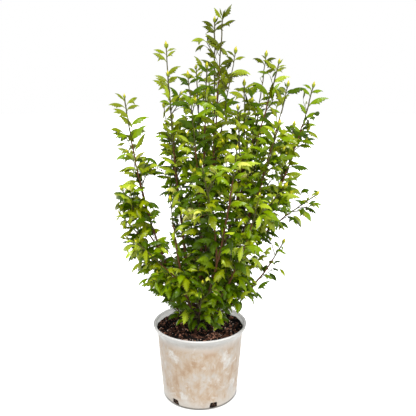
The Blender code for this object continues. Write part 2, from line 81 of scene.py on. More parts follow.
def setInputs(tree, node, inputs):
    # each input takes a socket to link, a plain value or a hex colour
    for key, value in inputs.items():
        if isinstance(value, bpy.types.NodeSocket):
            tree.links.new(value, node.inputs[key])
        else:
            node.inputs[key].default_value = linear(value) if str(value).startswith("#") else value


def addNode(tree, kind, inputs=None, out=0, stops=(), **settings):
    # adds a node with its settings, inputs and colour stops; gives one of its outputs, or all for None
    node = tree.nodes.new(kind)
    for key, value in settings.items():
        setattr(node, key, value)
    setInputs(tree, node, inputs or {})
    if stops:
        colours = node.color_ramp.elements
        while len(colours) < len(stops):
            colours.new(0.5)
        for element, (position, colour) in zip(colours, stops):
            element.position = position
            element.color = linear(colour)
    return node.outputs if out is None else node.outputs[out]


def newMaterial(name, values):
    # a Principled material; returns it with its tree, shader and object coordinates
    made = bpy.data.materials.new(name)
    made.use_nodes = True
    tree = made.node_tree
    shader = tree.nodes["Principled BSDF"]
    setInputs(tree, shader, values)
    return made, tree, shader, addNode(tree, "ShaderNodeTexCoord", out="Object")


def newTree(name, sizes):
    # an empty geometry node tree; each input comes with its value, or with the kind of thing it takes
    tree = bpy.data.node_groups.new(name, "GeometryNodeTree")
    for label, value in {"Geometry": "Geometry", **sizes}.items():
        kind = {int: "Int", float: "Float"}.get(type(value), value)
        socket = tree.interface.new_socket(label, in_out="INPUT", socket_type=f"NodeSocket{kind}")
        if kind != value:
            socket.default_value = value
    tree.interface.new_socket("Geometry", in_out="OUTPUT", socket_type="NodeSocketGeometry")
    return tree, addNode(tree, "NodeGroupInput", out=None)


def endTree(tree, geometry, material):
    # every tree ends in plain geometry with its material
    plain = addNode(tree, "GeometryNodeRealizeInstances", {"Geometry": geometry})
    done = addNode(tree, "GeometryNodeSetMaterial", {"Geometry": plain, "Material": material})
    addNode(tree, "NodeGroupOutput", {0: done}, None)
    return tree


def setShapes(tree, given, points, values):
    # sets a shape from the given collection on each point, and ends the tree
    shapes = addNode(tree, "GeometryNodeCollectionInfo", {
        "Collection": given["Shapes"], "Separate Children": True, "Reset Children": True})
    placed = addNode(tree, "GeometryNodeInstanceOnPoints", {
        "Points": points, "Instance": shapes, "Pick Instance": True, **values})
    return endTree(tree, placed, given["Material"])


def addPiece(name, data):
    # puts a mesh, curve, camera or light into the scene
    data.name = name
    piece = bpy.data.objects.new(name, data)
    bpy.context.scene.collection.objects.link(piece)
    return piece


def finishedMesh(piece):
    # the plain mesh that its modifiers leave
    return bpy.data.meshes.new_from_object(piece.evaluated_get(bpy.context.evaluated_depsgraph_get()))


def grow(name, source, tree, values):
    # runs a tree on a mesh or curve and keeps the result as a plain mesh object
    carrier = addPiece(name + "Source", source)
    modifier = carrier.modifiers.new("grow", "NODES")
    modifier.node_group = tree
    sockets = {item.name: item.identifier for item in tree.interface.items_tree if item.in_out == "INPUT"}
    for label, value in values.items():
        modifier[sockets[label]] = value
    mesh = finishedMesh(carrier)
    bpy.data.objects.remove(carrier)
    return addPiece(name, mesh)


def keep(piece, slot, *nodes):
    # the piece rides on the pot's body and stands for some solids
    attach(piece, rootBody)
    if nodes:
        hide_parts(*nodes)
    triangles = sum(len(p.vertices) - 2 for p in piece.data.polygons)
    print(f"{piece.name}: {triangles} triangles")
    return piece


def meshFrom(name, corners, faces, smooth=True):
    mesh = bpy.data.meshes.new(name)
    mesh.from_pydata([tuple(c) for c in corners], [], faces)
    if smooth:
        mesh.shade_smooth()
    return mesh


def meshOf(name, shape):
    mesh = bpy.data.meshes.new(name)
    shape.to_mesh(mesh)
    shape.free()
    return mesh


def ringPoints(radius, height, sides):
    return [
        (radius * math.cos(t), radius * math.sin(t), height)
        for t in np.linspace(0, 2 * math.pi, sides, endpoint=False)
    ]


def around(count):
    # each corner of a ring with the next one
    return [(k, (k + 1) % count) for k in range(count)]


# Camera, light and floor

camera = {
    "place": (0.0254, -1.6, 0.9563),
    "pitch": 12.39,  # degrees down
    "focalPixels": 544.0,  # of a picture 416 wide
    "pictureWidth": 416,
    "sensor": 36.0,
    "clip": (0.05, 60.0),
}


def makeCamera():
    data = bpy.data.cameras.new("camera")
    data.sensor_width = camera["sensor"]
    data.lens = camera["focalPixels"] / camera["pictureWidth"] * camera["sensor"]
    data.clip_start, data.clip_end = camera["clip"]
    shown = addPiece("camera", data)
    shown.location = camera["place"]
    shown.rotation_euler = (math.radians(90 - camera["pitch"]), 0.0, 0.0)
    bpy.context.scene.camera = shown


studio = {
    "floorColour": "#fbfbfa",
    # the floor glows like a light table, so that shadows stay faint, but not under the pot's edge, where its
    # colour turns grey as a painted contact shadow
    "floorGlow": 0.55,
    "glowFoot": (0.1120, 0.1240),  # it starts this far out and is full this far out
    # grey painted into the floor under the pot's edge: a painted contact shadow
    "paintedContactShadow": "#8c8a88",
    "floorRadius": 20.0,
    "floorSides": 64,
    # a pale sky, dimmer overhead and under the floor: how high, from 0 straight down to 1 straight up
    "sky": [
        (0.0, "#aaaaa3"), (0.46, "#aaaaa3"), (0.47, "#ffffff"), (0.58, "#ffffff"), (0.67, "#929496"),
        (1.0, "#8c8e90"),
    ],
    "skyStrength": 1.0,
    # name: where it shines from, how wide it looks in degrees, strength
    "lights": {
        "keyLight": ((-0.06, -0.75, 1.50), 14.0, 3.2),
        "frontLight": ((0.10, -1.50, 0.50), 22.0, 1.3),
        "leftLight": ((-1.2, -0.45, 0.75), 30.0, 0.38),
        "rightLight": ((1.2, -0.40, 0.75), 30.0, 1.00),
    },
}


def makeStudio():
    floor, tree, shader, place = newMaterial(
        "paleStudioFloor", {"Roughness": 0.9, "Emission Strength": studio["floorGlow"]})
    out = addNode(tree, "ShaderNodeVectorMath", {0: place}, "Value", operation="LENGTH")
    first, full = studio["glowFoot"]
    glow = addNode(tree, "ShaderNodeMapRange", {"Value": out, "From Min": first, "From Max": full})
    # near the pot the floor turns grey and stops glowing: a painted contact shadow
    for key, under in (("Base Color", studio["paintedContactShadow"]), ("Emission Color", "#000000")):
        colour = addNode(
            tree, "ShaderNodeMix", {0: glow, 6: under, 7: studio["floorColour"]}, 2, data_type="RGBA")
        setInputs(tree, shader, {key: colour})
    ring = ringPoints(studio["floorRadius"], 0.0, studio["floorSides"])
    mesh = meshFrom("floor", ring, [tuple(range(len(ring)))], smooth=False)
    mesh.materials.append(floor)
    piece = addPiece("floor", mesh)
    piece.visible_diffuse = False
    world = bpy.data.worlds.new("studio")
    world.use_nodes = True
    tree = world.node_tree
    way = addNode(tree, "ShaderNodeTexCoord", out="Generated")
    height = addNode(tree, "ShaderNodeSeparateXYZ", {0: way}, "Z")
    share = addNode(tree, "ShaderNodeMath", {0: height, 1: 0.5, 2: 0.5}, operation="MULTIPLY_ADD")
    colour = addNode(tree, "ShaderNodeValToRGB", {0: share}, stops=studio["sky"])
    setInputs(tree, tree.nodes["Background"], {"Color": colour, "Strength": studio["skyStrength"]})
    bpy.context.scene.world = world
    bpy.context.scene.view_settings.view_transform = "Standard"  # so that sRGB colours come out as given
    for name, (way, width, strength) in studio["lights"].items():
        data = bpy.data.lights.new(name, "SUN")
        data.angle = math.radians(width)
        data.energy = strength
        light = addPiece(name, data)
        light.location = Vector(way) * 2
        light.rotation_euler = Vector(way).to_track_quat("Z", "Y").to_euler()


makeCamera()
makeStudio()
print("camera and studio ready")


# Nursery pot

potLow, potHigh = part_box("pot")
pot = {
    "height": potHigh.z,
    "rimRadius": (potHigh.x - potLow.x) / 2,
    "shoulder": 0.1335,  # radius under the flared lip
    "base": 0.1168,
    "baseRounding": 0.011,
    "flare": 0.026,  # height of the lip
    "flareCurve": 1.3,  # over 1, it bends outwards as it rises
    "bead": 0.0036,  # radius of its rolled edge
    "wall": 0.0022,
    "sides": 160,
    "holes": 6,
    "firstHole": -69.0,  # degrees from +X
    "holeWidth": 0.026,
    "holeLow": 0.002,
    "holeHigh": 0.024,
    "holeTaper": 0.84,  # its width at the top, as a share
    "holeRounding": 0.0022,
    "holeReach": (-0.013, 0.03),  # how far its cutter reaches in and out
    "holeBorder": 0.0017,  # width of the raised edge round a hole
    "holeRaise": 0.0007,
    "inside": "#f4f3f0",
    # the inside's glow is painted light, standing in for the light that comes through the thin wall
    "paintedThroughLight": 0.16,  # how strongly the inside glows with what comes through a wall this thin
    # broad pale clouds beside the front: place and size
    "paleClouds": [
        ((-0.086, -0.101, 0.181), 0.017), ((-0.072, -0.110, 0.168), 0.016), ((0.079, -0.105, 0.172), 0.022),
        ((0.087, -0.097, 0.150), 0.021), ((0.104, -0.070, 0.070), 0.020), ((-0.050, -0.110, 0.040), 0.018),
    ],
}


def arcPoints(radius, height, size, first, last, count):
    turns = [math.radians(first + (last - first) * k / (count - 1)) for k in range(count)]
    return [(radius + size * math.cos(t), height + size * math.sin(t)) for t in turns]


def shoulderHeight():
    return pot["height"] - pot["flare"]


def wallRadius(height):
    # the outside: a straight wall, then the lip that flares out over it
    flared = max(height - shoulderHeight(), 0.0) / (pot["height"] - 2 * pot["bead"] - shoulderHeight())
    reach = (pot["rimRadius"] - pot["shoulder"]) * flared ** pot["flareCurve"]
    return pot["base"] + (pot["shoulder"] - pot["base"]) * min(height / shoulderHeight(), 1.0) + reach


def potProfile():
    # the wall's section from the foot up the outside, over the rolled edge and down the inside
    wall, bead, rounding = pot["wall"], pot["bead"], pot["baseRounding"]
    points = [(0.040, 0.0016), (0.046, 0.0), (pot["base"] - rounding - 0.006, 0.0)]
    points += arcPoints(pot["base"] - rounding, rounding, rounding, -90, 0, 9)
    low, high = rounding, shoulderHeight()
    points += [(wallRadius(z), z) for z in np.linspace(low + 0.006, high - 0.004, 14)]
    flareTop = pot["height"] - 2 * bead
    lip = [(wallRadius(z), z) for z in np.linspace(high, high + 0.9 * (flareTop - high), 8)]
    points += lip
    points += arcPoints(pot["rimRadius"] - bead, pot["height"] - bead, bead, -42, 190, 14)
    points += [(radius - wall, z) for radius, z in reversed(lip[:7])]
    points += [(wallRadius(z) - wall, z) for z in (0.17, 0.10, 0.05, 2 * rounding)]
    points += [(pot["base"] - rounding, wall + 0.0015), (0.05, wall), (0.02, wall)]
    return points


def lathe(profile, sides):
    # a closed turned mesh; both ends are closed on the axis
    shape = bmesh.new()
    rings = [[shape.verts.new(p) for p in ringPoints(*point, sides)] for point in profile]
    for lower, upper in zip(rings, rings[1:]):
        for k, n in around(sides):
            shape.faces.new((lower[k], lower[n], upper[n], upper[k]))
    for ring, (_, height) in ((rings[0], profile[0]), (rings[-1], profile[-1])):
        middle = shape.verts.new((0.0, 0.0, height))
        for k, n in around(sides):
            shape.faces.new((ring[k], ring[n], middle))
    bmesh.ops.recalc_face_normals(shape, faces=shape.faces)
    return shape


def holeOutline(wider):
    # slanted sides and rounded corners, as (sideways, height)
    width, size = pot["holeWidth"] / 2 + wider, pot["holeRounding"]
    low, high = pot["holeLow"] - wider, pot["holeHigh"] + wider
    narrow = width * pot["holeTaper"]
    outline = []
    for y, z, first in ((width, low, -90), (narrow, high, 0), (-narrow, high, 90), (-width, low, 180)):
        cy, cz = y - math.copysign(size, y), z + (size if z == low else -size)
        outline += [
            (cy + size * math.cos(math.radians(a)), cz + size * math.sin(math.radians(a)))
            for a in (first, first + 30, first + 60, first + 90)
        ]
    return outline


def holeCutter(turn):
    shape = bmesh.new()
    near, far = [
        [shape.verts.new((pot["base"] + reach, y, z)) for y, z in holeOutline(0.0)]
        for reach in pot["holeReach"]
    ]
    shape.faces.new(near)
    shape.faces.new(far)
    for k, n in around(len(near)):
        shape.faces.new((near[k], near[n], far[n], far[k]))
    bmesh.ops.recalc_face_normals(shape, faces=shape.faces)
    shape.transform(Matrix.Rotation(turn, 4, "Z"))
    return addPiece("hole", meshOf("hole", shape))


def footRadius(height):
    # the outside over the rounded foot
    rounding = pot["baseRounding"]
    if height >= rounding:
        return wallRadius(height)
    return pot["base"] - rounding + math.sqrt(max(rounding**2 - (rounding - max(height, 0.0)) ** 2, 0.0))


def addHoleEdge(shape, turn):
    # a raised edge that follows the wall round one hole, as a closed band
    rings, border, lift = [], pot["holeBorder"], pot["holeRaise"]
    for wider, raised in ((0.0, -0.001), (0.0, lift), (border, lift), (border, -0.001)):
        ring = []
        for y, z in holeOutline(wider):
            out = math.sqrt(max((footRadius(z) + raised) ** 2 - y**2, 0.0))
            place = Matrix.Rotation(turn, 3, "Z") @ Vector((out, y, max(z, 0.0002)))
            ring.append(shape.verts.new(place))
        rings.append(ring)
    faces = [
        shape.faces.new((first[k], first[n], second[n], second[k]))
        for first, second in zip(rings, rings[1:] + rings[:1]) for k, n in around(len(first))
    ]
    bmesh.ops.recalc_face_normals(shape, faces=faces)


def marbledPlastic():
    # injection-moulded polypropylene with a cloudy tan swirl: satin, with soft broad highlights
    made, tree, shader, place = newMaterial("marbledPolypropylene", {"Roughness": 0.42, "IOR": 1.49})
    # the swirl is drawn out up and down the wall, in clouds 20 to 60 mm across
    tall = addNode(tree, "ShaderNodeMapping", {"Vector": place, "Scale": (1.0, 1.0, 0.7)})
    cloud = addNode(tree, "ShaderNodeTexNoise", {
        "Vector": tall, "Scale": perMetre(30), "Detail": 6.0, "Roughness": 0.62, "Distortion": 0.25})
    body = addNode(tree, "ShaderNodeValToRGB", {0: cloud}, stops=[
        (0.34, "#b9b4ae"), (0.45, "#b5a798"), (0.54, "#b19d88"), (0.66, "#a4896e")])
    # paler clouds: some at random, and a few broad ones with torn edges beside the front
    patches = addNode(tree, "ShaderNodeTexNoise", {
        "Vector": place, "Scale": perMetre(26), "Detail": 5.0, "Roughness": 0.6, "Distortion": 0.6})
    pale = addNode(tree, "ShaderNodeMapRange", {
        "Value": patches, "From Min": 0.58, "From Max": 0.74, "To Min": 0.0, "To Max": 0.75})
    wisps = addNode(tree, "ShaderNodeTexNoise", {
        "Vector": place, "Scale": perMetre(22), "Detail": 5.0, "Roughness": 0.7}, "Color")
    warped = addNode(tree, "ShaderNodeVectorMath", {
        0: wisps, 1: (0.06, 0.06, 0.06), 2: (-0.03, -0.03, -0.03)}, operation="MULTIPLY_ADD")
    torn = addNode(tree, "ShaderNodeVectorMath", {0: place, 1: warped}, operation="ADD")
    for centre, size in pot["paleClouds"]:
        away = addNode(tree, "ShaderNodeVectorMath", {0: torn, 1: centre}, "Value", operation="DISTANCE")
        near = addNode(tree, "ShaderNodeMapRange", {
            "Value": away, "From Min": size, "From Max": size * 0.3, "To Min": 0.0, "To Max": 0.85})
        pale = addNode(tree, "ShaderNodeMath", {0: pale, 1: near}, operation="MAXIMUM")
    # vertical flow marks a few millimetres apart
    thin = addNode(tree, "ShaderNodeMapping", {"Vector": place, "Scale": (1.0, 1.0, 0.09)})
    streak = addNode(tree, "ShaderNodeTexNoise", {
        "Vector": thin, "Scale": perMetre(8), "Detail": 3.0, "Roughness": 0.55})
    streaks = addNode(tree, "ShaderNodeValToRGB", {0: streak}, stops=[(0.32, "#e9dfd4"), (0.62, "#ffffff")])
    # the lip and the foot are off-white, with a cloudy edge, and the rolled edge is greyer, a painted shade
    # against the light that falls on its top
    height = addNode(tree, "ShaderNodeSeparateXYZ", {0: place}, "Z")
    cloudy = addNode(tree, "ShaderNodeMath", {0: cloud, 1: 0.060, 2: -0.030}, operation="MULTIPLY_ADD")
    wavy = addNode(tree, "ShaderNodeMath", {0: height, 1: cloudy}, operation="ADD")
    layers = [(pale, "#d2d2d0", "MIX"), (0.35, streaks, "MULTIPLY")]
    for edge, first, full, most, colour in (
        (wavy, 0.196, 0.227, 1.0, "#d8d7d6"), (wavy, 0.044, 0.014, 0.85, "#c2bbb3"),
        # painted shade: the top of the rolled edge is greyer, to tone down the light that falls on it
        (height, 0.231, 0.236, 1.0, "#c0bebb"),
    ):
        band = addNode(tree, "ShaderNodeMapRange", {
            "Value": edge, "From Min": first, "From Max": full, "To Min": 0.0, "To Max": most})
        layers.append((band, colour, "MIX"))
    for share, colour, blend in layers:
        body = addNode(
            tree, "ShaderNodeMix", {0: share, 6: body, 7: colour}, 2, data_type="RGBA", blend_type=blend)
    # a faint orange-peel texture from the mould, drawn at 2 mm so that it shows
    peel = addNode(tree, "ShaderNodeTexNoise", {"Vector": place, "Scale": perMetre(2.0), "Detail": 2.0})
    bump = addNode(tree, "ShaderNodeBump", {"Strength": 0.10, "Distance": 0.0006, "Height": peel})
    setInputs(tree, shader, {"Base Color": body, "Normal": bump})
    return made


def makePot():
    mesh = meshOf("pot", lathe(potProfile(), pot["sides"]))
    mesh.materials.append(marbledPlastic())
    shell = addPiece("potShell", mesh)
    turns = [math.radians(pot["firstHole"]) + 2 * math.pi * k / pot["holes"] for k in range(pot["holes"])]
    cutters = [holeCutter(turn) for turn in turns]
    for cutter in cutters:
        cut = shell.modifiers.new("hole", "BOOLEAN")
        cut.operation = "DIFFERENCE"
        cut.object = cutter
    finished = finishedMesh(shell)
    shell.modifiers.clear()
    shell.data = finished
    for cutter in cutters:
        bpy.data.objects.remove(cutter)
    shape = bmesh.new()
    shape.from_mesh(finished)
    for turn in turns:
        addHoleEdge(shape, turn)
    shape.to_mesh(finished)
    shape.free()
    finished.shade_smooth()
    finished.set_sharp_from_angle(angle=math.radians(38))
    # the inside is plain off-white, without the swirl, and glows a little: painted light for what shines
    # through the thin wall
    finished.materials.append(newMaterial("plainPolypropylene", {
        "Roughness": 0.45, "IOR": 1.49, "Base Color": pot["inside"], "Emission Color": pot["inside"],
        "Emission Strength": pot["paintedThroughLight"]})[0])
    for face in finished.polygons:
        outward = face.normal.x * face.center.x + face.normal.y * face.center.y
        if outward < -0.05 * face.center.xy.length and face.center.z > pot["baseRounding"] * 3:
            face.material_index = 1
    keep(shell, "pot", "pot")


makePot()
print("pot ready")


# Potting mix with bark chips

mix = {
    "crumb": 5.0,  # millimetres
    "crumbColours": [(0.10, "#a98c74"), (0.26, "#4f372b"), (0.46, "#160c08")],
    "crumbHeights": (0.060, 0.040),  # they show under the first height and are full under the second
    # near black: partly the mix's own colour, partly painted shade for the gaps between chips and behind the
    # holes
    "finesWithPaintedShade": "#0a0603",
    "top": 0.222,
    "level": 0.217,  # chips lie over this height
    # radius and height round the foot, where it fills the holes from behind
    "foot": [(0.1085, 0.0012), (0.1118, 0.0035), (0.1143, 0.0080)],
    "gap": 0.0006,  # to the wall
    "fibre": 3.0,  # millimetres
    "lump": 0.0034,
    "rings": 26,
    "sides": 120,
    # name: chips a square metre, length in metres, seed, sRGB colour
    "chips": {
        "darkChips": (15000, 0.0128, 3, "#0a0503"),
        "brownChips": (9000, 0.0134, 11, "#553628"),
        "redChips": (5200, 0.0112, 23, "#a2745e"),
        "tanChips": (3500, 0.0078, 41, "#e6ccba"),
    },
    "chipSpread": (0.45, 1.35),
    "chipReach": 0.955,  # share of the bed's radius that carries chips
}


def bedRadius(height):
    return wallRadius(height) - pot["wall"] - mix["gap"]


# Bark: "chip" is composted pine, matt and fibrous with paler torn edges, and "skin" is a young
# shrub's, dull, with fine upright ridges
barks = {
    "chip": {
        "shine": 0.2, "tall": 1.0, "detail": 4.0, "share": 0.8, "relief": 0.0012,
        "shades": [(0.30, "#8d8079"), (0.55, "#ffffff"), (0.80, "#e9cdb9")],
    },
    "skin": {
        "shine": 0.5, "tall": 0.22, "detail": 5.0, "share": 0.85, "relief": 0.0008,
        "shades": [(0.30, "#7d6f66"), (0.52, "#d9cfc6"), (0.72, "#ffffff")],
    },
    "paintedFootShade": (0.04, 0.16),  # how high over the mix the painted shade at a stem's foot starts to fade, and is gone
}


def barkFinish(name, kind, colour, roughness, ridge, footShadeColour=None):
    bark = barks[kind]
    made, tree, shader, place = newMaterial(
        name, {"Roughness": roughness, "IOR": 1.45, "Specular IOR Level": bark["shine"]})
    tall = addNode(tree, "ShaderNodeMapping", {"Vector": place, "Scale": (1.0, 1.0, bark["tall"])})
    fibre = addNode(tree, "ShaderNodeTexNoise", {
        "Vector": tall, "Scale": perMetre(ridge), "Detail": bark["detail"], "Roughness": 0.6})
    shade = addNode(tree, "ShaderNodeValToRGB", {0: fibre}, stops=bark["shades"])
    # painted shade: the stems turn darker towards the mix, for the shade at their foot
    if footShadeColour:
        height = addNode(tree, "ShaderNodeSeparateXYZ", {0: place}, "Z")
        shadeDeepest, shadeGone = [mix["top"] + over for over in barks["paintedFootShade"]]
        shadeFading = addNode(tree, "ShaderNodeMapRange", {"Value": height, "From Min": shadeDeepest, "From Max": shadeGone})
        colour = addNode(tree, "ShaderNodeMix", {0: shadeFading, 6: footShadeColour, 7: colour}, 2, data_type="RGBA")
    mixed = addNode(
        tree, "ShaderNodeMix", {0: bark["share"], 6: colour, 7: shade}, 2, data_type="RGBA",
        blend_type="MULTIPLY")
    bump = addNode(tree, "ShaderNodeBump", {"Strength": 0.5, "Distance": bark["relief"], "Height": fibre})
    setInputs(tree, shader, {"Base Color": mixed, "Normal": bump})
    return made, tree, shader, place


def lumpyBed():
    # the bed's top: rings of corners that rise and fall by a few millimetres, closed below
    rng = np.random.default_rng(7)
    waves = [
        (rng.uniform(-1, 1, 2) * 2 * math.pi / size, rng.uniform(0, 2 * math.pi), weight)
        for size, weight in ((0.050, 0.5), (0.034, 0.4), (0.019, 0.35), (0.013, 0.3), (0.009, 0.25))
        for _ in range(3)
    ]
    profile = [(0.004, mix["foot"][0][1]), *mix["foot"]]
    profile += [(bedRadius(z), z) for z in (0.022, shoulderHeight())]
    profile += [(bedRadius(mix["top"]) * share, mix["top"]) for share in np.linspace(1.0, 0.02, mix["rings"])]
    shape = lathe(profile, mix["sides"])
    for corner in shape.verts:
        if corner.co.z > mix["top"] - 0.0001:
            x, y, _ = corner.co
            height = sum(w * math.sin(f[0] * x + f[1] * y + p) for f, p, w in waves)
            corner.co.z += mix["lump"] * 0.45 * height
    mesh = meshOf("pottingBed", shape)
    mesh.shade_smooth()
    return mesh


def chipShapes():
    # a few split bark chips, each a bent and tapered slab about one unit long
    holder = bpy.data.collections.new("chipShapes")
    rng = random.Random(5)
    for n in range(6):
        shape = bmesh.new()
        bmesh.ops.create_cube(shape, size=1.0)
        bmesh.ops.subdivide_edges(
            shape, edges=[e for e in shape.edges if abs((e.verts[0].co - e.verts[1].co).x) > 0.5], cuts=2)
        wide, thick, bend = rng.uniform(0.34, 0.62), rng.uniform(0.14, 0.26), rng.uniform(-0.16, 0.16)
        for corner in shape.verts:
            x, y, z = corner.co
            taper = 1.0 - rng.uniform(0.1, 0.75) * abs(x) ** 1.5 * 2
            corner.co.x = x + rng.uniform(-0.07, 0.07)
            corner.co.y = (y * taper + rng.uniform(-0.08, 0.08)) * wide
            corner.co.z = (z * taper + rng.uniform(-0.10, 0.10)) * thick + bend * (4 * x * x - 0.5)
        chip = bpy.data.objects.new(f"chipShape{n}", meshOf(f"chipShape{n}", shape))
        holder.objects.link(chip)
    return holder


def chipTree():
    # scatters chips over the level part of a bed, each turned and sized at random
    tree, given = newTree("scatterChips", {
        "Shapes": "Collection", "Density": 6000.0, "Length": 0.012, "Smallest": 0.5, "Largest": 1.3,
        "Reach": 0.115, "Seed": 0, "Material": "Material",
    })
    place = addNode(tree, "GeometryNodeInputPosition")
    parts = addNode(tree, "ShaderNodeSeparateXYZ", {0: place}, None)
    flat = addNode(tree, "ShaderNodeCombineXYZ", {"X": parts["X"], "Y": parts["Y"]})
    out = addNode(tree, "ShaderNodeVectorMath", {0: flat}, "Value", operation="LENGTH")
    within = addNode(tree, "FunctionNodeCompare", {0: out, 1: given["Reach"]}, operation="LESS_THAN")
    above = addNode(tree, "FunctionNodeCompare", {0: parts["Z"], 1: mix["level"]}, operation="GREATER_THAN")
    top = addNode(tree, "FunctionNodeBooleanMath", {0: within, 1: above}, operation="AND")
    points = addNode(tree, "GeometryNodeDistributePointsOnFaces", {
        "Mesh": given["Geometry"], "Selection": top, "Density": given["Density"], "Seed": given["Seed"]})
    turn = addNode(tree, "FunctionNodeRandomValue", {
        0: (-0.9, -0.7, 0.0), 1: (0.9, 0.7, 2 * math.pi), "Seed": given["Seed"]}, data_type="FLOAT_VECTOR")
    spread = addNode(tree, "FunctionNodeRandomValue", {
        2: given["Smallest"], 3: given["Largest"], "Seed": given["Seed"]}, 1, data_type="FLOAT")
    size = addNode(tree, "ShaderNodeMath", {0: spread, 1: given["Length"]}, operation="MULTIPLY")
    return setShapes(tree, given, points, {"Rotation": turn, "Scale": size})


def makeMix():
    # moist fines between the chips: almost black and dull, partly their own dark colour and partly painted
    # shade for the gaps between the chips and the hollows behind the holes, with brown crumbs where the holes
    # bare them
    finesWithPaintedShade, tree, shader, place = barkFinish("moistFinesWithPaintedShade", "chip", mix["finesWithPaintedShade"], 0.95, mix["fibre"])
    crumbs = addNode(
        tree, "ShaderNodeTexVoronoi", {"Vector": place, "Scale": perMetre(mix["crumb"])}, feature="F1")
    height = addNode(tree, "ShaderNodeSeparateXYZ", {0: place}, "Z")
    first, full = mix["crumbHeights"]
    low = addNode(tree, "ShaderNodeMapRange", {"Value": height, "From Min": first, "From Max": full})
    brown = addNode(tree, "ShaderNodeValToRGB", {0: crumbs}, stops=mix["crumbColours"])
    colour = addNode(tree, "ShaderNodeMix", {0: low, 6: mix["finesWithPaintedShade"], 7: brown}, 2, data_type="RGBA")
    setInputs(tree, shader, {"Base Color": colour})
    bed = lumpyBed()
    bed.materials.append(finesWithPaintedShade)
    keep(addPiece("pottingBed", bed), "potting_mix", "potting_mix")
    tree, shapes = chipTree(), chipShapes()
    for name, (density, length, seed, colour) in mix["chips"].items():
        bark = barkFinish("pineBark" + name[0].upper() + name[1:], "chip", colour, 0.8, mix["fibre"])[0]
        piece = grow(name, bed.copy(), tree, {
            "Shapes": shapes, "Density": float(density), "Length": length, "Seed": seed,
            "Smallest": mix["chipSpread"][0], "Largest": mix["chipSpread"][1],
            "Reach": bedRadius(mix["top"]) * mix["chipReach"], "Material": bark,
        })
        keep(piece, "potting_mix")


makeMix()
print("potting mix ready")


# How the shrub grows: the rule that its solids follow, carried to finer twigs

growth = {
    "trunkFoot": Vector((-0.010, 0.0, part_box("trunk")[0].z)),
    "trunkLean": Vector((0.004, -0.002, 0.074)),
    "trunkRadius": 0.0145,
    "trunkFlare": 0.0065,
    "roots": 5,
    "limbSeat": 0.62,
    "stemRadius": 0.0046,
    "shootRadius": 0.0018,
    "forkSize": 0.8,
    "forkReach": 0.22,
    "forkSag": 0.10,
    "twigStep": 0.095,
    "firstTwig": 0.067,
    "lastTwig": 0.85,
    "twigLength": 0.100,
    "twigShortening": 0.72,
    "twigAngle": math.radians(50),
    "twigLift": 0.25,
    "twigRadius": 0.0017,
    "twigRise": 0.10,  # how far its end bends up, as a share of its length
    "twigTaper": 0.45,
    "leaderPoints": 0.012,  # metres between them
    "twigPoints": 0.014,
    "kink": 0.0011,  # how far a leader bends at a node
    "taper": 0.9,
    "stepSpread": (0.85, 1.15),
    "spaceOverlap": 0.022,
    "spaceSteps": 60,  # samples along a leader
    "bedAir": (0.65, 0.008),  # within this share of the rim's radius growth keeps this far over the mix
    "rimAir": 0.004,  # and elsewhere this far over the rim
    "boxReach": 0.006,
    "leafReach": 0.016,  # how far they may pass the solids' box
    "crownFoot": 0.30,
    "crownTop": 1.10,
    # sky shows here between the shoots, and the trunk through the last one, as boxes in the
    # trunk's plane: sides, then heights
    "airGaps": [
        (-0.160, -0.105, 0.823, 0.930),
        (-0.156, -0.116, 0.750, 0.794),
        (-0.160, -0.110, 0.608, 0.681),
        (-0.128, -0.085, 0.489, 0.614),
        (-0.103, -0.076, 0.415, 0.495),
        (0.243, 0.281, 0.850, 0.929),
        (-0.024, 0.004, 0.250, 0.300),
    ],
    # no leaf stands before this stem between these heights, as the camera sees them
    "shownStem": "front",
    "shownHeights": (0.30, 0.69),
    "shownMargin": 0.011,
    "shownDepth": 0.003,
    # low down the crown keeps to a cone round the trunk: its radius at a height, and how fast it widens
    "cone": (0.300, 0.105, 1.25),
}

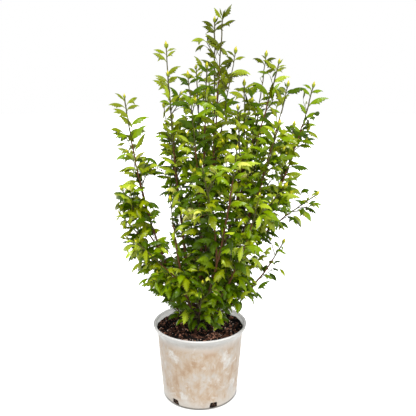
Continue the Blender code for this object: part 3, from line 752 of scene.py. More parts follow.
# where each stem ends, its knee as shares of the way out and up, the side and height where it
# leaves the trunk, the bare share of it, and where its forks leave and end
stems = {
    "left": dict(
        tip=(-0.212, -0.02, 0.930), knee=(0.76, 0.36), side=173, height=0.37, bough=0.15,
        forks=[
            (0.24, (-0.220, 0.02, 0.500)), (0.31, (-0.236, -0.02, 0.590)), (0.38, (-0.222, -0.06, 0.670)),
            (0.46, (-0.206, 0.05, 0.760)),
        ],
    ),
    "left_centre": dict(
        tip=(-0.096, 0.04, 1.072), knee=(0.60, 0.30), side=153, height=0.61, bough=0.15,
        forks=[(0.42, (-0.085, -0.06, 0.990)), (0.50, (-0.110, 0.10, 0.900))],
    ),
    "centre_left": dict(
        tip=(0.022, -0.04, 1.012), knee=(0.40, 0.35), side=295, height=0.91, bough=0.14,
        forks=[(0.38, (-0.028, -0.10, 0.985)), (0.46, (-0.010, 0.08, 1.015))],
    ),
    "centre": dict(
        tip=(0.066, 0.00, 1.152), knee=(0.55, 0.35), side=50, height=0.97, bough=0.14,
        forks=[(0.55, (0.044, 0.03, 1.142)), (0.52, (0.101, -0.04, 1.052))],
    ),
    "right_centre": dict(
        tip=(0.227, 0.00, 1.026), knee=(0.52, 0.42), side=341, height=0.85, bough=0.14,
        forks=[
            (0.50, (0.198, 0.08, 1.050)), (0.42, (0.150, 0.09, 0.880)), (0.47, (0.128, -0.02, 0.965)),
            (0.44, (0.108, -0.07, 0.900)),
        ],
    ),
    "right_mid": dict(
        tip=(0.243, -0.08, 0.962), knee=(0.60, 0.34), side=340, height=0.59, bough=0.15,
        forks=[(0.52, (0.214, -0.14, 0.860)), (0.40, (0.235, -0.13, 0.690)), (0.44, (0.258, -0.05, 0.650))],
    ),
    "right": dict(
        tip=(0.331, 0.02, 0.960), knee=(0.70, 0.38), side=4, height=0.38, bough=0.15,
        forks=[(0.55, (0.288, 0.08, 0.842)), (0.40, (0.342, -0.03, 0.650))],
    ),
    "low_right": dict(
        tip=(0.249, -0.035, 0.505), knee=(0.62, 0.28), side=356, height=0.16, bough=0.22,
        forks=[],
    ),
    "front": dict(
        tip=(0.100, -0.20, 0.802), knee=(0.66, 0.34), side=288, height=0.50, bough=0.18,
        forks=[(0.45, (0.008, -0.21, 0.763))],
    ),
    "front_left": dict(
        tip=(-0.075, -0.18, 0.664), knee=(0.68, 0.34), side=252, height=0.29, bough=0.20,
        forks=[(0.42, (-0.175, -0.12, 0.530))],
    ),
    "front_right": dict(
        tip=(0.160, -0.20, 0.680), knee=(0.68, 0.34), side=309, height=0.29, bough=0.20,
        forks=[],
    ),
    "back": dict(
        tip=(0.030, 0.19, 0.985), knee=(0.64, 0.34), side=77, height=0.72, bough=0.15,
        forks=[(0.45, (-0.050, 0.21, 0.880)), (0.42, (0.090, 0.23, 0.780))],
    ),
    "back_left": dict(
        tip=(-0.090, 0.20, 0.860), knee=(0.68, 0.34), side=114, height=0.49, bough=0.17,
        forks=[],
    ),
    "back_right": dict(
        tip=(0.190, 0.19, 0.875), knee=(0.68, 0.34), side=46, height=0.50, bough=0.18,
        forks=[(0.42, (0.262, 0.15, 0.710))],
    ),
    "back_low": dict(
        tip=(0.010, 0.25, 0.600), knee=(0.66, 0.32), side=75, height=0.22, bough=0.20,
        forks=[],
    ),
}

# low masses that spring from the trunk: the side where they leave it, and where they end
skirt = {
    "ends": {
        "front": (278, (0.010, -0.150, 0.420)),
        "front_left": (226, (-0.120, -0.100, 0.430)),
        "front_right": (314, (0.125, -0.092, 0.430)),
        "right": (42, (0.125, 0.060, 0.440)),
        "back": (111, (-0.055, 0.132, 0.430)),
        "back_left": (172, (-0.135, 0.025, 0.440)),
    },
    "height": 0.13,
    "knee": (0.75, 0.45),
    "radius": 0.0026,
}


def bezier(line, share):
    start, knee, end = line
    rest = 1 - share
    return start * rest**2 + knee * (2 * share * rest) + end * share**2


def slope(line, share):
    start, knee, end = line
    return ((knee - start) * (1 - share) + (end - knee) * share) * 2


def trunkLine(tip, height, knee, side):
    side = math.radians(side)
    outward = Vector((math.cos(side), math.sin(side), 0.0))
    start = growth["trunkFoot"] + growth["trunkLean"] * height
    start += outward * (growth["trunkRadius"] * growth["limbSeat"])
    run = Vector(tip) - start
    return start, start + Vector((run.x, run.y, 0.0)) * knee[0] + up * (run.z * knee[1]), Vector(tip)


def stemRadius(share):
    return growth["shootRadius"] + (growth["stemRadius"] - growth["shootRadius"]) * (1 - share)


class Shoot:
    # a limb along points with a radius at each; its frames tell which way is out
    def __init__(self, points, radii):
        self.points, self.radii = points, radii
        self.steps = [(b - a).length for a, b in zip(points, points[1:])]
        self.length = sum(self.steps)
        self.frames = []
        level = None
        for i in range(len(points)):
            direction = (points[min(i + 1, len(points) - 1)] - points[max(i - 1, 0)]).normalized()
            if level is None:
                level = direction.cross(up)
                if level.length < 0.05:
                    level = direction.cross(Vector((0.0, 1.0, 0.0)))
            level = (level - direction * level.dot(direction)).normalized()
            self.frames.append((direction, level, direction.cross(level)))

    def at(self, distance):
        for i, step in enumerate(self.steps):
            if distance <= step or i == len(self.steps) - 1:
                share = min(distance / step, 1.0)
                radius = self.radii[i] + (self.radii[i + 1] - self.radii[i]) * share
                return self.points[i].lerp(self.points[i + 1], share), self.frames[i], radius
            distance -= step

    def outward(self, distance, turn, angle):
        _, (direction, first, second), _ = self.at(distance)
        out = first * math.cos(turn) + second * math.sin(turn)
        return (direction * math.cos(angle) + out * math.sin(angle)).normalized()


def leader(line, low, radius, rng):
    # a shoot along a curve from a share on, bent a little at each point
    count = max(int((line[2] - bezier(line, low)).length / growth["leaderPoints"]), 6)
    points = [bezier(line, low + (1 - low) * k / count) for k in range(count + 1)]
    for k in range(1, count):
        points[k] += Vector([rng.uniform(-1, 1) for _ in range(3)]) * growth["kink"]
    thinner = growth["shootRadius"] - radius
    radii = [radius + thinner * (k / count) ** growth["taper"] for k in range(count + 1)]
    return Shoot(points, radii)


def stemLeaders(name, spec, line):
    rng = random.Random(name + " line")
    leaders = [leader(line, spec["bough"], stemRadius(spec["bough"]), rng)]
    for share, tip in spec["forks"]:
        root, tip = bezier(line, share), Vector(tip)
        ahead, reach = slope(line, share).normalized(), tip - root
        knee = root + (ahead + reach.normalized()) * (reach.length * growth["forkReach"])
        knee -= up * (growth["forkSag"] * reach.z)
        leaders.append(leader((root, knee, tip), 0.0, stemRadius(share) * growth["forkSize"], rng))
    return leaders


def grownTwig(parent, distance, turn, length, radius):
    # a side twig lifts as it grows
    root, _, _ = parent.at(distance)
    heading = (parent.outward(distance, turn, growth["twigAngle"]) + up * growth["twigLift"]).normalized()
    count = max(int(length / growth["twigPoints"]), 3)
    points = [
        root + heading * (length * k / count) + up * (growth["twigRise"] * length * (k / count) ** 2)
        for k in range(count + 1)
    ]
    return Shoot(points, [radius * (1 - growth["twigTaper"] * k / count) for k in range(count + 1)])


masses = {}
lines = {}
for name, spec in stems.items():
    lines[name] = trunkLine(spec["tip"], spec["height"], spec["knee"], spec["side"])
    masses[name] = stemLeaders(name, spec, lines[name])
for name, (side, tip) in skirt["ends"].items():
    line = trunkLine(tip, skirt["height"], skirt["knee"], side)
    masses["skirt_" + name] = [leader(line, 0.0, skirt["radius"], random.Random(name + " low"))]

spaces = {}
for name, leaders in masses.items():
    steps = growth["spaceSteps"]
    places = [shoot.at(shoot.length * k / steps)[0] for shoot in leaders for k in range(steps + 1)]
    spaces[name] = KDTree(len(places))
    for k, place in enumerate(places):
        spaces[name].insert(place, k)
    spaces[name].balance()


def seen(place):
    # where the camera sees a place in the trunk's plane: side and height
    eye = Vector(camera["place"])
    spot = eye + (place - eye) * (eye.y / (eye.y - place.y))
    return spot.x, spot.z


def inAir(place):
    # whether the camera sees a place in one of the gaps
    x, z = seen(place)
    return any(left < x < right and low < z < high for left, right, low, high in growth["airGaps"])


shownPlaces = [bezier(lines[growth["shownStem"]], k / 40) for k in range(41)]
shownSides, shownHeights = zip(*[seen(place) for place in shownPlaces])
shownDepths = [place.y for place in shownPlaces]


def hidesStem(place):
    # whether a place lies before the stem that shows through the leaves
    x, z = seen(place)
    foot, top = growth["shownHeights"]
    if not foot < z < top or abs(x - np.interp(z, shownHeights, shownSides)) > growth["shownMargin"]:
        return False
    return place.y < np.interp(z, shownHeights, shownDepths) - growth["shownDepth"]


def inBox(place, margin):
    return all(cadLow[k] - margin < place[k] < cadHigh[k] + margin for k in range(3))


def inSpace(name, place):
    # nearer to its own mass than to others, over the mix, clear of the rim, and inside the reach
    share, air = growth["bedAir"]
    over = math.hypot(place.x, place.y) < share * pot["rimRadius"]
    if place.z < (mix["top"] + air if over else pot["height"] + growth["rimAir"]):
        return False
    if not inBox(place, growth["boxReach"]) or inAir(place):
        return False
    if name != "low_right":
        height, radius, widening = growth["cone"]
        if math.hypot(place.x - 0.01, place.y) > radius + max(place.z - height, 0.0) * widening:
            return False
    own, overlap = spaces[name].find(place)[2], growth["spaceOverlap"]
    return all(own < space.find(place)[2] + overlap for other, space in spaces.items() if other != name)


def addTwigs(name, leaders):
    twigs = []
    for n, shoot in enumerate(leaders):
        rng = random.Random(f"{name} twigs {n}")
        along, turn = growth["firstTwig"], rng.uniform(0, 2 * math.pi)
        while along < shoot.length * growth["lastTwig"]:
            length = growth["twigLength"] * (1 - growth["twigShortening"] * along / shoot.length)
            length *= rng.uniform(*growth["stepSpread"])
            for _ in range(4):
                twig = grownTwig(shoot, along, turn, length, growth["twigRadius"])
                if inSpace(name, twig.points[-1]):
                    twigs.append(twig)
                    break
                length *= 0.75
            turn += goldenTurn
            along += growth["twigStep"] * rng.uniform(*growth["stepSpread"])
    return twigs


spurs = {
    "step": 0.030,  # between short spurs on a leader
    "length": (0.010, 0.038),
    "lowTop": 0.43,  # under this height they come closer and longer, on the bare boughs too
    "lowStep": 0.013,
    "lowLength": (0.016, 0.062),
    "highFoot": 0.80,  # over this height they are rarer
    "highStep": 0.080,
    "radius": 0.0013,
    "last": 0.93,
    "thin": {"low_right": 0.12},  # the share that grows, where a mass is nearly bare
}


def addSpurs(name, shoots):
    # short leafy spurs in the axils of boughs, leaders and twigs
    made = []
    for n, shoot in enumerate(shoots):
        rng = random.Random(f"{name} spurs {n}")
        along, turn = spurs["lowStep"], rng.uniform(0, 2 * math.pi)
        while along < shoot.length * spurs["last"]:
            root = shoot.at(along)[0]
            low = root.z < spurs["lowTop"]
            length = rng.uniform(*(spurs["lowLength"] if low else spurs["length"]))
            spur = grownTwig(shoot, along, turn, length, spurs["radius"])
            if inSpace(name, spur.points[-1]) and rng.random() < spurs["thin"].get(name, 1.0):
                made.append(spur)
            turn += goldenTurn
            step = "lowStep" if low else "step" if root.z < spurs["highFoot"] else "highStep"
            along += spurs[step] * rng.uniform(*growth["stepSpread"])
    return made


boughs = {}
for name, spec in stems.items():
    rng = random.Random(name + " bough")
    bough = leader(tuple(lines[name]), 0.0, stemRadius(0.0), rng)
    count = len(bough.points) - 1
    last = next(i for i in range(1, count + 1) if i / count >= spec["bough"])
    boughs[name] = [Shoot(bough.points[:last + 1], bough.radii[:last + 1])]
twigs = {name: addTwigs(name, leaders) for name, leaders in masses.items()}
shortSpurs = {name: addSpurs(name, boughs.get(name, []) + masses[name] + twigs[name]) for name in masses}
print("grown:", sum(map(len, masses.values())), "leaders,", sum(map(len, twigs.values())), "twigs,",
      sum(map(len, shortSpurs.values())), "spurs")


# Leaves

leaf = {
    # half outlines from the stalk to the tip, as (share of the length, share of the length out)
    "outlines": [
        # three-lobed, on a wedge-shaped foot
        [(0.0, 0.014), (0.14, 0.07), (0.26, 0.21), (0.31, 0.19), (0.45, 0.41), (0.50, 0.29), (0.535, 0.15),
         (0.63, 0.25), (0.665, 0.14), (0.76, 0.18), (0.795, 0.09), (0.88, 0.09), (0.915, 0.035), (1.0, 0.0)],
        # narrow, coarsely toothed
        [(0.0, 0.014), (0.15, 0.07), (0.30, 0.21), (0.35, 0.19), (0.49, 0.29), (0.54, 0.21),
         (0.65, 0.225), (0.70, 0.155), (0.79, 0.15), (0.835, 0.085), (0.92, 0.05), (1.0, 0.0)],
        # young, at the tips
        [(0.0, 0.014), (0.20, 0.11), (0.42, 0.21), (0.48, 0.175), (0.66, 0.165), (0.72, 0.115),
         (0.87, 0.05), (1.0, 0.0)],
    ],
    # lift at the stalk, droop from there to the tip, how far the sides hang from the midrib, and the
    # bend to one side: two for the crown's top, one for its middle, one that hangs and one for a tip
    "poses": [
        (0.72, 1.70, -1.18, 0.10), (0.84, 2.05, -1.25, -0.14), (0.52, 1.80, -0.78, 0.12),
        (0.20, 1.95, -0.42, -0.08), (0.25, 0.80, -0.95, 0.10),
    ],
    "drops": (0.0, 0.15, 0.30, 0.75, 0.0),  # how far each one's tip hangs, as a share of the length
    "hang": 0.9,  # under 1, a blade droops sooner
    "stalk": 0.12,  # its length as a share of the blade's
    "stalkRadius": 0.014,
    "cup": 0.9,  # how much more its edges hang
    "ripple": 0.09,
}


# Leaves and buds, as points that carry a turn, a size and a shape

foliage = {
    "leaderStep": 0.025,  # between leaves
    "twigStep": 0.015,
    "spurStep": 0.014,
    "length": 0.068,  # of a blade at the crown's top
    # how long they are against that at shares of the crown's height
    "lengths": ((0.0, 0.12, 0.3, 0.5, 0.8, 1.0), (1.16, 1.00, 1.03, 1.01, 1.04, 1.08)),
    "spread": (0.68, 1.12),
    "sizes": {"low_right": 0.80, "left": 1.14},  # how much larger or smaller they are in a mass
    "rankFoot": 0.60,  # from this share of the height on, leaves stand in two ranks, left and right
    "rankSpread": 0.55,
    "tipLeaves": 4,
    "tipSize": 0.70,
    "tipAngle": 0.30,
    "angle": math.radians(50),
    "roll": (0.80, 0.36),  # how far a leaf may lean to one side, low and high in the crown
    "thinTop": 0.080,  # how much the steps between leaves widen
    "thinFoot": 0.62,  # over this share of the height
    # shades dealt out by spray, with their weights low and high in the crown; the darker ones go low down,
    # partly the leaves' own colour and partly painted shade
    "shades": {
        "Deep": (0.50, 0.12),
        "Mid": (0.39, 0.21),
        "Moss": (0.01, 0.06),
        "Olive": (0.06, 0.47),
        "Bright": (0.06, 0.19),
        "Lime": (0.0, 0.0),
        "Pale": (0.0, 0.0),
    },
    "paintedInnerShade": "Deep",
    "innerShare": 0.50,  # of the crown's radius, where the leaves take a darker colour as painted shade
    "innerFoot": 0.035,
    "innerTop": 0.50,  # between these shares of its height
    "innerChance": 0.8,
    # a blade picks its pose by its height, under these shares, give or take a spread
    "poseHeights": (0.36, 0.62),
    "poseSpread": 0.22,
    "angleSpread": 0.24,
    "youngSize": 0.55,  # under this size it has the young shape
    "outlines": (0.85, 0.15, 0.65),  # weights of lobed and narrow ones low down, and their shift
    # the darker colour of the topmost tuft, a painted shade for its backlit leaves, its share of the leaves
    # there, and from which height on
    "topPaintedShade": "Moss",
    "topShare": 0.70,
    "topFoot": 0.80,
    # a few leaves at the front are pale: where they are seen in the trunk's plane, side and height
    "paleSpots": [
        (-0.206, 0.652), (-0.094, 0.646), (0.064, 0.635), (0.113, 0.628), (-0.029, 0.567),
        (0.127, 0.712), (0.080, 0.745), (-0.037, 0.729),
    ],
    "paleReach": 0.016,
    "paleShare": 0.010,  # and so are some anywhere
    # painted light: further left the leaves take lighter shades, for the light from the left
    "paintedLightSide": 0.10,  # further left than this the shades are those of a higher place
    "paintedLightGain": 6.5,
    "budShare": 0.40,  # how many twigs and spurs end in a bud at the crown's top
    "budFoot": 0.42,  # and from which share of its height on there are any
    "budSize": (0.013, 0.020),
}
leafPoints = {shade: [] for shade in foliage["shades"]}
budPoints = []


def level(place):
    share = (place.z - growth["crownFoot"]) / (growth["crownTop"] - growth["crownFoot"])
    return min(max(share, 0.0), 1.0)


def leafTurn(heading, roll):
    # the Euler turn that lays a leaf's +X along its heading, with its face up
    side = up.cross(heading)
    if side.length < 0.08:
        side = Vector((0.0, 1.0, 0.0)).cross(heading)
    side.normalize()
    face = heading.cross(side)
    side, face = side * math.cos(roll) + face * math.sin(roll), face * math.cos(roll) - side * math.sin(roll)
    return Matrix((heading, side, face)).transposed().to_euler()


def pickShade(rng, place):
    height = level(place)
    radius = 0.12 + 0.14 * math.sin(math.pi * (0.15 + 0.75 * height))  # of the crown at this height
    inner = math.hypot(place.x, place.y) < radius * foliage["innerShare"]
    inner = inner and foliage["innerFoot"] < height < foliage["innerTop"]
    # inside the crown a darker colour is dealt as painted shade
    if inner and rng.random() < foliage["innerChance"]:
        return foliage["paintedInnerShade"]
    names = list(foliage["shades"])
    # painted light: leaves on the left take the lighter shades of a higher place
    height = min(height + max(-foliage["paintedLightSide"] - place.x, 0.0) * foliage["paintedLightGain"], 1.0)
    weights = [low + (high - low) * height for low, high in foliage["shades"].values()]
    return rng.choices(names, weights)[0]


def addLeaf(name, shoot, along, turn, size, shade, rng, upright=False):
    root, _, _ = shoot.at(along)
    angle = foliage["tipAngle"] if upright else foliage["angle"]
    spread = foliage["angleSpread"]
    heading = shoot.outward(along, turn, angle + rng.uniform(-spread, spread))
    height = level(root)
    length = foliage["length"] * size * rng.uniform(*foliage["spread"]) * foliage["sizes"].get(name, 1.0)
    length *= float(np.interp(height, *foliage["lengths"]))
    # low leaves hang, high ones arch; a shape is picked by how far it droops and by its lobes
    high = height + rng.uniform(-foliage["poseSpread"], foliage["poseSpread"])
    hangs, droops = foliage["poseHeights"]
    pose = 4 if upright else 3 if high < hangs else 2 if high < droops else rng.choice((0, 1))
    lobed, narrow, shift = foliage["outlines"]
    weights = (lobed - shift * height, narrow + shift * height)
    outline = 2 if size < foliage["youngSize"] else rng.choices((0, 1), weights)[0]
    # a leaf that has no room to hang arches, or stays smaller
    for shrink, shape in ((1.0, pose), (1.0, min(pose, 2)), (0.66, pose), (0.66, min(pose, 2))):
        tip = root + heading * (length * shrink * 0.8) - up * (length * shrink * leaf["drops"][shape])
        # an arching blade reaches almost its length sideways
        end = root + Vector((heading.x, heading.y, 0.0)).normalized() * (length * shrink)
        hides = any(hidesStem(root.lerp(tip, share)) for share in (0.3, 0.65, 1.0))
        inside = inSpace(name, tip) and inBox(end, growth["leafReach"])
        if inside and not hides and not inAir(root.lerp(tip, 0.55)):
            break
    else:
        return
    length, pose = length * shrink, shape
    lean = foliage["roll"][0] + (foliage["roll"][1] - foliage["roll"][0]) * height
    turnOf = leafTurn(heading, rng.uniform(-lean, lean))
    middle = root.lerp(tip, 0.6)
    spot = seen(middle)
    if middle.y < 0 and any(math.dist(spot, pale) < foliage["paleReach"] for pale in foliage["paleSpots"]):
        shade = rng.choice(("Lime", "Pale", "Bright"))
    # the topmost tuft gets a darker colour as painted shade
    elif name == "centre" and height > foliage["topFoot"]:
        shade = foliage["topPaintedShade"] if rng.random() < foliage["topShare"] else shade
    elif rng.random() < foliage["paleShare"]:
        shade = rng.choice(("Lime", "Bright"))
    leafPoints[shade].append((root, turnOf, length, outline * len(leaf["poses"]) + pose))


def addBud(shoot, rng, size=1.0):
    place, (direction, _, _), _ = shoot.at(shoot.length)
    heading = (direction + up * 0.4).normalized()
    length = rng.uniform(*foliage["budSize"]) * size
    if place.z + heading.z * length < cadHigh.z:
        budPoints.append((place - heading * 0.001, leafTurn(heading, rng.uniform(0, 3)), length, 0))


def rankTurn(shoot, along, turn, side, rng):
    # high up the leaves stand in two ranks, to the left and right; lower down they keep their spiral
    root, (_, first, second), _ = shoot.at(along)
    if level(root) < foliage["rankFoot"]:
        return turn
    right = math.atan2(second.x, first.x)
    return right + (math.pi if side < 0 else 0.0) + rng.uniform(-1, 1) * foliage["rankSpread"]


def clothe(name):
    for n, shoot in enumerate(masses[name]):
        rng = random.Random(f"{name} leaves {n}")
        shade = pickShade(rng, shoot.points[-1])
        along, turn, side = 0.020, rng.uniform(0, 2 * math.pi), rng.choice((-1, 1))
        while along < shoot.length - 0.030:
            shade = pickShade(rng, shoot.at(along)[0]) if rng.random() < 0.35 else shade
            size = 1.08 - 0.20 * (along / shoot.length) ** 2
            addLeaf(name, shoot, along, rankTurn(shoot, along, turn, side, rng), size, shade, rng)
            turn += goldenTurn
            side = -side
            higher = max(level(shoot.at(along)[0]) - foliage["thinFoot"], 0.0)
            step = foliage["leaderStep"] + foliage["thinTop"] * higher
            closer = min(foliage["sizes"].get(name, 1.0), 1.0) ** 2
            along += step * rng.uniform(*growth["stepSpread"]) / closer
        # the topmost shoot ends in a spiky upright tuft, the others in a few leaves under a bud
        tuft = name == "centre" and n == 0
        for k in range(foliage["tipLeaves"] + tuft):
            size = foliage["tipSize"] * (1 - 0.12 * k) * (0.95 if tuft else 0.7 if k == 3 else 1.0)
            along = shoot.length - (0.016 if tuft else 0.034) + (0.003 if tuft else 0.0085) * k
            upright = tuft or k == 3 and level(shoot.points[-1]) > 0.6
            around = turn + 2.4 * k if upright else rankTurn(shoot, along, turn + 2.4 * k, side, rng)
            addLeaf(name, shoot, along, around, size, shade, rng, upright)
            side = -side
        if not tuft:
            addBud(shoot, rng, 1.1)
    for group, step in ((twigs[name], foliage["twigStep"]), (shortSpurs[name], foliage["spurStep"])):
        for n, shoot in enumerate(group):
            rng = random.Random(f"{name} spray {step} {n}")
            shade = pickShade(rng, shoot.points[-1])
            along, turn = shoot.length - 0.002, rng.uniform(0, 2 * math.pi)
            while along > min(0.012, shoot.length * 0.4):
                addLeaf(name, shoot, along, turn, rng.uniform(0.7, 0.95), shade, rng)
                turn += goldenTurn
                along -= step
            height = (level(shoot.points[-1]) - foliage["budFoot"]) / (1 - foliage["budFoot"])
            if rng.random() < foliage["budShare"] * height:
                addBud(shoot, rng)


for name in masses:
    clothe(name)
print("leaves:", {shade: len(points) for shade, points in leafPoints.items()}, "buds:", len(budPoints))


# Leaf and bud shapes

def leafShape(name, outline, lift, droop, fold, bend):
    # a stalk and a blade along +X, curving down, with its face up
    corners, faces = [], []
    for share in (0.0, 1.0):
        x, z = leaf["stalk"] * share * math.cos(lift), leaf["stalk"] * share * math.sin(lift)
        for turn in (2 * math.pi * k / 3 for k in range(3)):
            corners.append((
                x, leaf["stalkRadius"] * math.cos(turn), z + leaf["stalkRadius"] * math.sin(turn)))
    faces += [(k, k + 3, n + 3, n) for k, n in around(3)]
    rows, before = [], 0.0
    for along, out in outline:
        angle = lift - droop * ((along + before) / 2) ** leaf["hang"]
        x += (along - before) * math.cos(angle)
        z += (along - before) * math.sin(angle)
        before = along
        rows.append((x, bend * along**2, z, angle, out))
    # each half has corners of its own along the midrib, so that the fold there stays crisp
    for side in (1, -1):
        start = len(corners)
        for n, (x, y, z, angle, out) in enumerate(rows):
            for reach, share in ((0.0, 0.0), (0.55, 0.35), (1.0, 1.0)):
                here = fold - leaf["cup"] * out * share
                down = out * reach * math.sin(here) + leaf["ripple"] * out * (n % 2) * reach
                # the blade's own up leans with its slope
                corners.append((
                    x - math.sin(angle) * down, y + side * out * reach * math.cos(here),
                    z + math.cos(angle) * down))
        for n in range(len(rows) - 1):
            for column in (0, 1):
                a, b = start + 3 * n + column, start + 3 * n + column + 3
                if n < len(rows) - 2:
                    face = (a, b, b + 1, a + 1)
                else:
                    face = (a, start + 3 * n + 3, a + 1)
                faces.append(face if side == 1 else face[::-1])
    return meshFrom(name, corners, faces)


def leafShapes():
    holder = bpy.data.collections.new("leafShapes")
    for n, outline in enumerate(leaf["outlines"]):
        for k, pose in enumerate(leaf["poses"]):
            name = f"leafShape{n * len(leaf['poses']) + k:02d}"
            holder.objects.link(bpy.data.objects.new(name, leafShape(name, outline, *pose)))
    return holder


def budShape(name, profile, sides, tips=0.0):
    # a turned bud along +X; a cup's upper edge is drawn out into sepal tips
    corners, faces = [], []
    for n, (x, radius) in enumerate(profile):
        for k in range(sides):
            turn = 2 * math.pi * k / sides
            reach = tips if n == len(profile) - 1 and k % 2 == 0 else 0.0
            corners.append((x + reach, radius * math.cos(turn), radius * math.sin(turn)))
    for start in range(0, len(corners) - sides, sides):
        faces += [(start + n, start + n + sides, start + k + sides, start + k) for k, n in around(sides)]
    faces.append(tuple(reversed(range(sides))))
    if profile[-1][1] < 0.05:
        faces.append(tuple(range(len(corners) - sides, len(corners))))
    shape = meshFrom(name, corners, faces)
    holder = bpy.data.collections.new(name + "s")
    holder.objects.link(bpy.data.objects.new(name, shape))
    return holder


pointValues = {"turn": "FLOAT_VECTOR", "size": "FLOAT", "kind": "INT"}


def sprayTree():
    # sets a shape on each point, turned, sized and picked by the point's own values
    tree, given = newTree("setSprays", {
        "Shapes": "Collection", "Size": 1.0, "Jitter": 0.1, "Seed": 0, "Material": "Material"})
    turn, size, kind = [
        addNode(tree, "GeometryNodeInputNamedAttribute", {"Name": name}, data_type=kind)
        for name, kind in pointValues.items()
    ]
    asTurn = addNode(tree, "FunctionNodeEulerToRotation", {0: turn})
    low, high = [
        addNode(tree, "ShaderNodeMath", {0: 1.0, 1: given["Jitter"]}, operation=sign)
        for sign in ("SUBTRACT", "ADD")
    ]
    spread = addNode(
        tree, "FunctionNodeRandomValue", {2: low, 3: high, "Seed": given["Seed"]}, 1, data_type="FLOAT")
    scaled = addNode(tree, "ShaderNodeMath", {0: size, 1: given["Size"]}, operation="MULTIPLY")
    final = addNode(tree, "ShaderNodeMath", {0: scaled, 1: spread}, operation="MULTIPLY")
    return setShapes(
        tree, given, given["Geometry"], {"Instance Index": kind, "Rotation": asTurn, "Scale": final})


def pointMesh(name, points):
    places, turns, sizes, kinds = zip(*points)
    mesh = meshFrom(name, places, [], smooth=False)
    turns = [value for turn in turns for value in turn]
    for (label, kind), values in zip(pointValues.items(), (turns, sizes, kinds)):
        field = "vector" if label == "turn" else "value"
        mesh.attributes.new(label, kind, "POINT").data.foreach_set(field, values)
    return mesh


def leafMaterial(shade, colour, roughness, gloss):
    # a live hibiscus blade: thin waxy skin over soft tissue, so satin with a soft grazing sheen
    made, tree, shader, place = newMaterial("liveLeaf" + shade, {
        "Base Color": colour, "Roughness": roughness, "IOR": 1.42, "Specular IOR Level": gloss})
    # puckered between the veins
    pucker = addNode(tree, "ShaderNodeTexNoise", {"Vector": place, "Scale": perMetre(8), "Detail": 2.0})
    bump = addNode(tree, "ShaderNodeBump", {"Strength": 0.5, "Distance": 0.003, "Height": pucker})
    setInputs(tree, shader, {"Normal": bump})
    return made


# sRGB colour, roughness and how strongly the skin reflects
leafColours = {
    "Deep": ("#405800", 0.30, 0.14),
    "Mid": ("#708a00", 0.28, 0.22),
    "Moss": ("#505a00", 0.32, 0.15),
    "Olive": ("#7f8c04", 0.28, 0.30),
    "Bright": ("#9cae22", 0.28, 0.34),
    "Lime": ("#c6ca56", 0.40, 0.30),
    "Pale": ("#dcdc78", 0.44, 0.30),
}
# turned buds and their cups, as distances along the axis with the radius there
bud = {
    "body": [(0.0, 0.09), (0.18, 0.20), (0.42, 0.235), (0.66, 0.15), (0.86, 0.06), (1.0, 0.008)],
    "bodySides": 8,
    "bodyColour": "#c4bc16",
    "cup": [(-0.04, 0.07), (0.05, 0.18), (0.22, 0.245), (0.40, 0.262)],
    "cupSides": 10,
    "cupColour": "#8f9c1c",
    "cupTips": 0.16,
}
foliageNodes = [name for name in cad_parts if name.startswith("foliage_")]
spray = sprayTree()


def makeLeaves():
    shapes = leafShapes()
    for n, (shade, points) in enumerate(leafPoints.items()):
        piece = grow("leaves" + shade, pointMesh("leafPoints", points), spray, {
            "Shapes": shapes, "Size": 1.0, "Jitter": 0.06, "Seed": n,
            "Material": leafMaterial(shade, *leafColours[shade]),
        })
        keep(piece, "foliage", *(foliageNodes if shade == "Mid" else ()))


def makeBuds():
    body = budShape("budBody", bud["body"], bud["bodySides"])
    cup = budShape("budCup", bud["cup"], bud["cupSides"], tips=bud["cupTips"])
    # closed petals and sepals are soft and dull, yellow over green
    for name, shapes, colour in (("budBodies", body, bud["bodyColour"]), ("budCups", cup, bud["cupColour"])):
        skin = newMaterial("liveBud" + name[3:], {"Base Color": colour, "Roughness": 0.55, "IOR": 1.42})[0]
        piece = grow(name, pointMesh("budPoints", budPoints), spray, {
            "Shapes": shapes, "Size": 1.0, "Jitter": 0.1, "Seed": 5, "Material": skin,
        })
        keep(piece, "foliage")


makeLeaves()
makeBuds()
print("leaves and buds ready")


# Wood: bark on the trunk and boughs, then thinner and greener shoots

wood = {
    "relief": 0.0007,
    "reliefSize": 2.4,  # millimetres between ridges, drawn coarser than life so that they show
    "roughness": 0.72,
    # the painted shade at the stems' foot
    "paintedFootShadeColour": "#2b1a10",  # near the mix
    # material, colour, millimetres between ridges, whether painted shade darkens the foot, sides and least
    # radius
    # by age: old stems are brown, younger ones redder, and the last of each is green
    "ages": {
        "oldBark": ("shrubBarkOld", "#714b2b", 2.6, True, 10, 0.0031),
        "youngBark": ("shrubBarkYoung", "#6c421d", 2.2, True, 7, 0.0021),
        "greenShoot": ("greenShootSkin", "#575622", 2.0, False, 4, 0.0),
    },
    "boughSides": 16,
    "boughSteps": 12,
    "overlap": 1.12,  # how far a bough runs on into its leader, as a share of its length
    "swelling": 0.22,  # at its foot
    "voxel": 0.0011,
    "softening": (0.5, 4),  # factor and rounds
    "trunkSides": 48,
    "trunkRings": 22,
    "lobes": 0.35,  # how deep the root lobes are against the flare
}


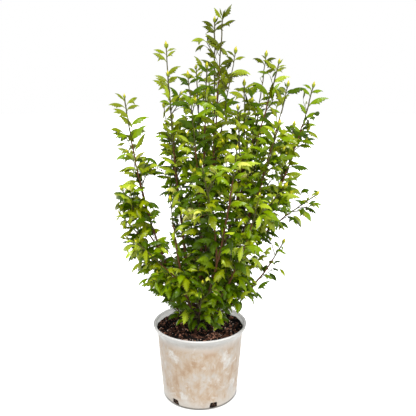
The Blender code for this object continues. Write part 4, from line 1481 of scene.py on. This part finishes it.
def limbTree():
    # sweeps a round section along curves, sized by their own radius, with a rough skin
    tree, given = newTree("sweepLimbs", {
        "Sides": 8, "Relief": 0.0003, "Grain": 300.0, "Material": "Material"})
    section = addNode(tree, "GeometryNodeCurvePrimitiveCircle", {"Resolution": given["Sides"], "Radius": 1.0})
    radius = addNode(tree, "GeometryNodeInputRadius")
    swept = addNode(tree, "GeometryNodeCurveToMesh", {
        "Curve": given["Geometry"], "Profile Curve": section, "Scale": radius, "Fill Caps": True})
    place = addNode(tree, "GeometryNodeInputPosition")
    flat = addNode(tree, "ShaderNodeVectorMath", {0: place, 1: (1.0, 1.0, 0.3)}, operation="MULTIPLY")
    rough = addNode(tree, "ShaderNodeTexNoise", {"Vector": flat, "Scale": given["Grain"], "Detail": 2.0})
    centred = addNode(tree, "ShaderNodeMath", {0: rough, 1: 0.5}, operation="SUBTRACT")
    amount = addNode(tree, "ShaderNodeMath", {0: centred, 1: given["Relief"]}, operation="MULTIPLY")
    normal = addNode(tree, "GeometryNodeInputNormal")
    offset = addNode(tree, "ShaderNodeVectorMath", {0: normal, "Scale": amount}, operation="SCALE")
    raised = addNode(tree, "GeometryNodeSetPosition", {"Geometry": swept, "Offset": offset})
    smooth = addNode(tree, "GeometryNodeSetShadeSmooth", {"Geometry": raised})
    return endTree(tree, smooth, given["Material"])


def curvesOf(name, shoots):
    data = bpy.data.curves.new(name, "CURVE")
    data.dimensions = "3D"
    for points, radii in shoots:
        spline = data.splines.new("POLY")
        spline.points.add(len(points) - 1)
        spline.points.foreach_set("co", [value for p in points for value in (*p, 1.0)])
        spline.points.foreach_set("radius", radii)
    return data


def splitByAge(shoots):
    # cuts each limb where it gets thin enough to be younger wood
    groups = {age: [] for age in wood["ages"]}
    for shoot in shoots:
        first = 0
        for age, (*_, thinnest) in wood["ages"].items():
            last = first
            while last < len(shoot.points) - 1 and shoot.radii[last + 1] >= thinnest:
                last += 1
            if last > first:
                groups[age].append((shoot.points[first:last + 1], shoot.radii[first:last + 1]))
                first = last
    return groups


def trunkBody():
    # the trunk with its root lobes, domed where the stems leave it
    corners, faces, sides, rings = [], [], wood["trunkSides"], wood["trunkRings"]
    for n in range(rings):
        share = n / (rings - 1)
        centre = growth["trunkFoot"] + growth["trunkLean"] * share
        flare = growth["trunkFlare"] * (1 - share) ** 4
        narrow = math.sqrt(max(1 - max((share - 0.88) / 0.13, 0.0) ** 2, 0.05))
        for k in range(sides):
            turn = 2 * math.pi * k / sides
            lobes = 1 + wood["lobes"] * math.cos(growth["roots"] * turn)
            radius = growth["trunkRadius"] * narrow + flare * lobes
            corners.append(centre + Vector((math.cos(turn), math.sin(turn), 0.0)) * radius)
    for start in range(0, len(corners) - sides, sides):
        faces += [(start + k, start + n, start + n + sides, start + k + sides) for k, n in around(sides)]
    faces.append(tuple(reversed(range(sides))))
    faces.append(tuple(range(len(corners) - sides, len(corners))))
    return meshFrom("trunkBody", corners, faces)


def makeTrunk(tree, material):
    # the trunk and its boughs grown together: joined, remeshed, smoothed, then given their bark
    shoots, count = [], wood["boughSteps"]
    for name, spec in stems.items():
        shares = [spec["bough"] * wood["overlap"] * k / count for k in range(count + 1)]
        swollen = [1 + wood["swelling"] * (1 - k / count) ** 3 for k in range(count + 1)]
        radii = [stemRadius(share) * wider for share, wider in zip(shares, swollen)]
        shoots.append(([bezier(lines[name], share) for share in shares], radii))
    boughs = grow("boughs", curvesOf("boughs", shoots), tree, {
        "Sides": wood["boughSides"], "Relief": 0.0, "Grain": 1.0, "Material": material})
    joined = bmesh.new()
    joined.from_mesh(boughs.data)
    joined.from_mesh(trunkBody())
    bpy.data.objects.remove(boughs)
    piece = addPiece("trunkAndBoughs", meshOf("trunkAndBoughs", joined))
    weld = piece.modifiers.new("weld", "REMESH")
    weld.mode = "VOXEL"
    weld.voxel_size = wood["voxel"]
    soften = piece.modifiers.new("soften", "SMOOTH")
    soften.factor, soften.iterations = wood["softening"]
    finished = finishedMesh(piece)
    piece.modifiers.clear()
    piece.data = finished
    finished.materials.clear()
    finished.materials.append(material)
    finished.shade_smooth()
    keep(piece, "bark", "trunk", *[f"stem_{name}" for name in stems])


def makeWood():
    tree = limbTree()
    shoots = [s for group in (masses, twigs, shortSpurs) for some in group.values() for s in some]
    groups = splitByAge(shoots)
    for age, (name, colour, ridge, paintedFoot, sides, _) in wood["ages"].items():
        # old and young bark get a painted shade at the foot
        foot = wood["paintedFootShadeColour"] if paintedFoot else None
        skin = barkFinish(name, "skin", colour, wood["roughness"], ridge, foot)[0]
        if age == "oldBark":
            makeTrunk(tree, skin)
        piece = grow(age + "Limbs", curvesOf(age, groups[age]), tree, {
            "Sides": sides, "Relief": wood["relief"] if age == "oldBark" else 0.0,
            "Grain": perMetre(wood["reliefSize"]), "Material": skin,
        })
        keep(piece, "bark" if age != "greenShoot" else "foliage")


makeWood()
print("wood ready")

print("cad box", [round(v, 4) for v in (*cadLow, *cadHigh)])
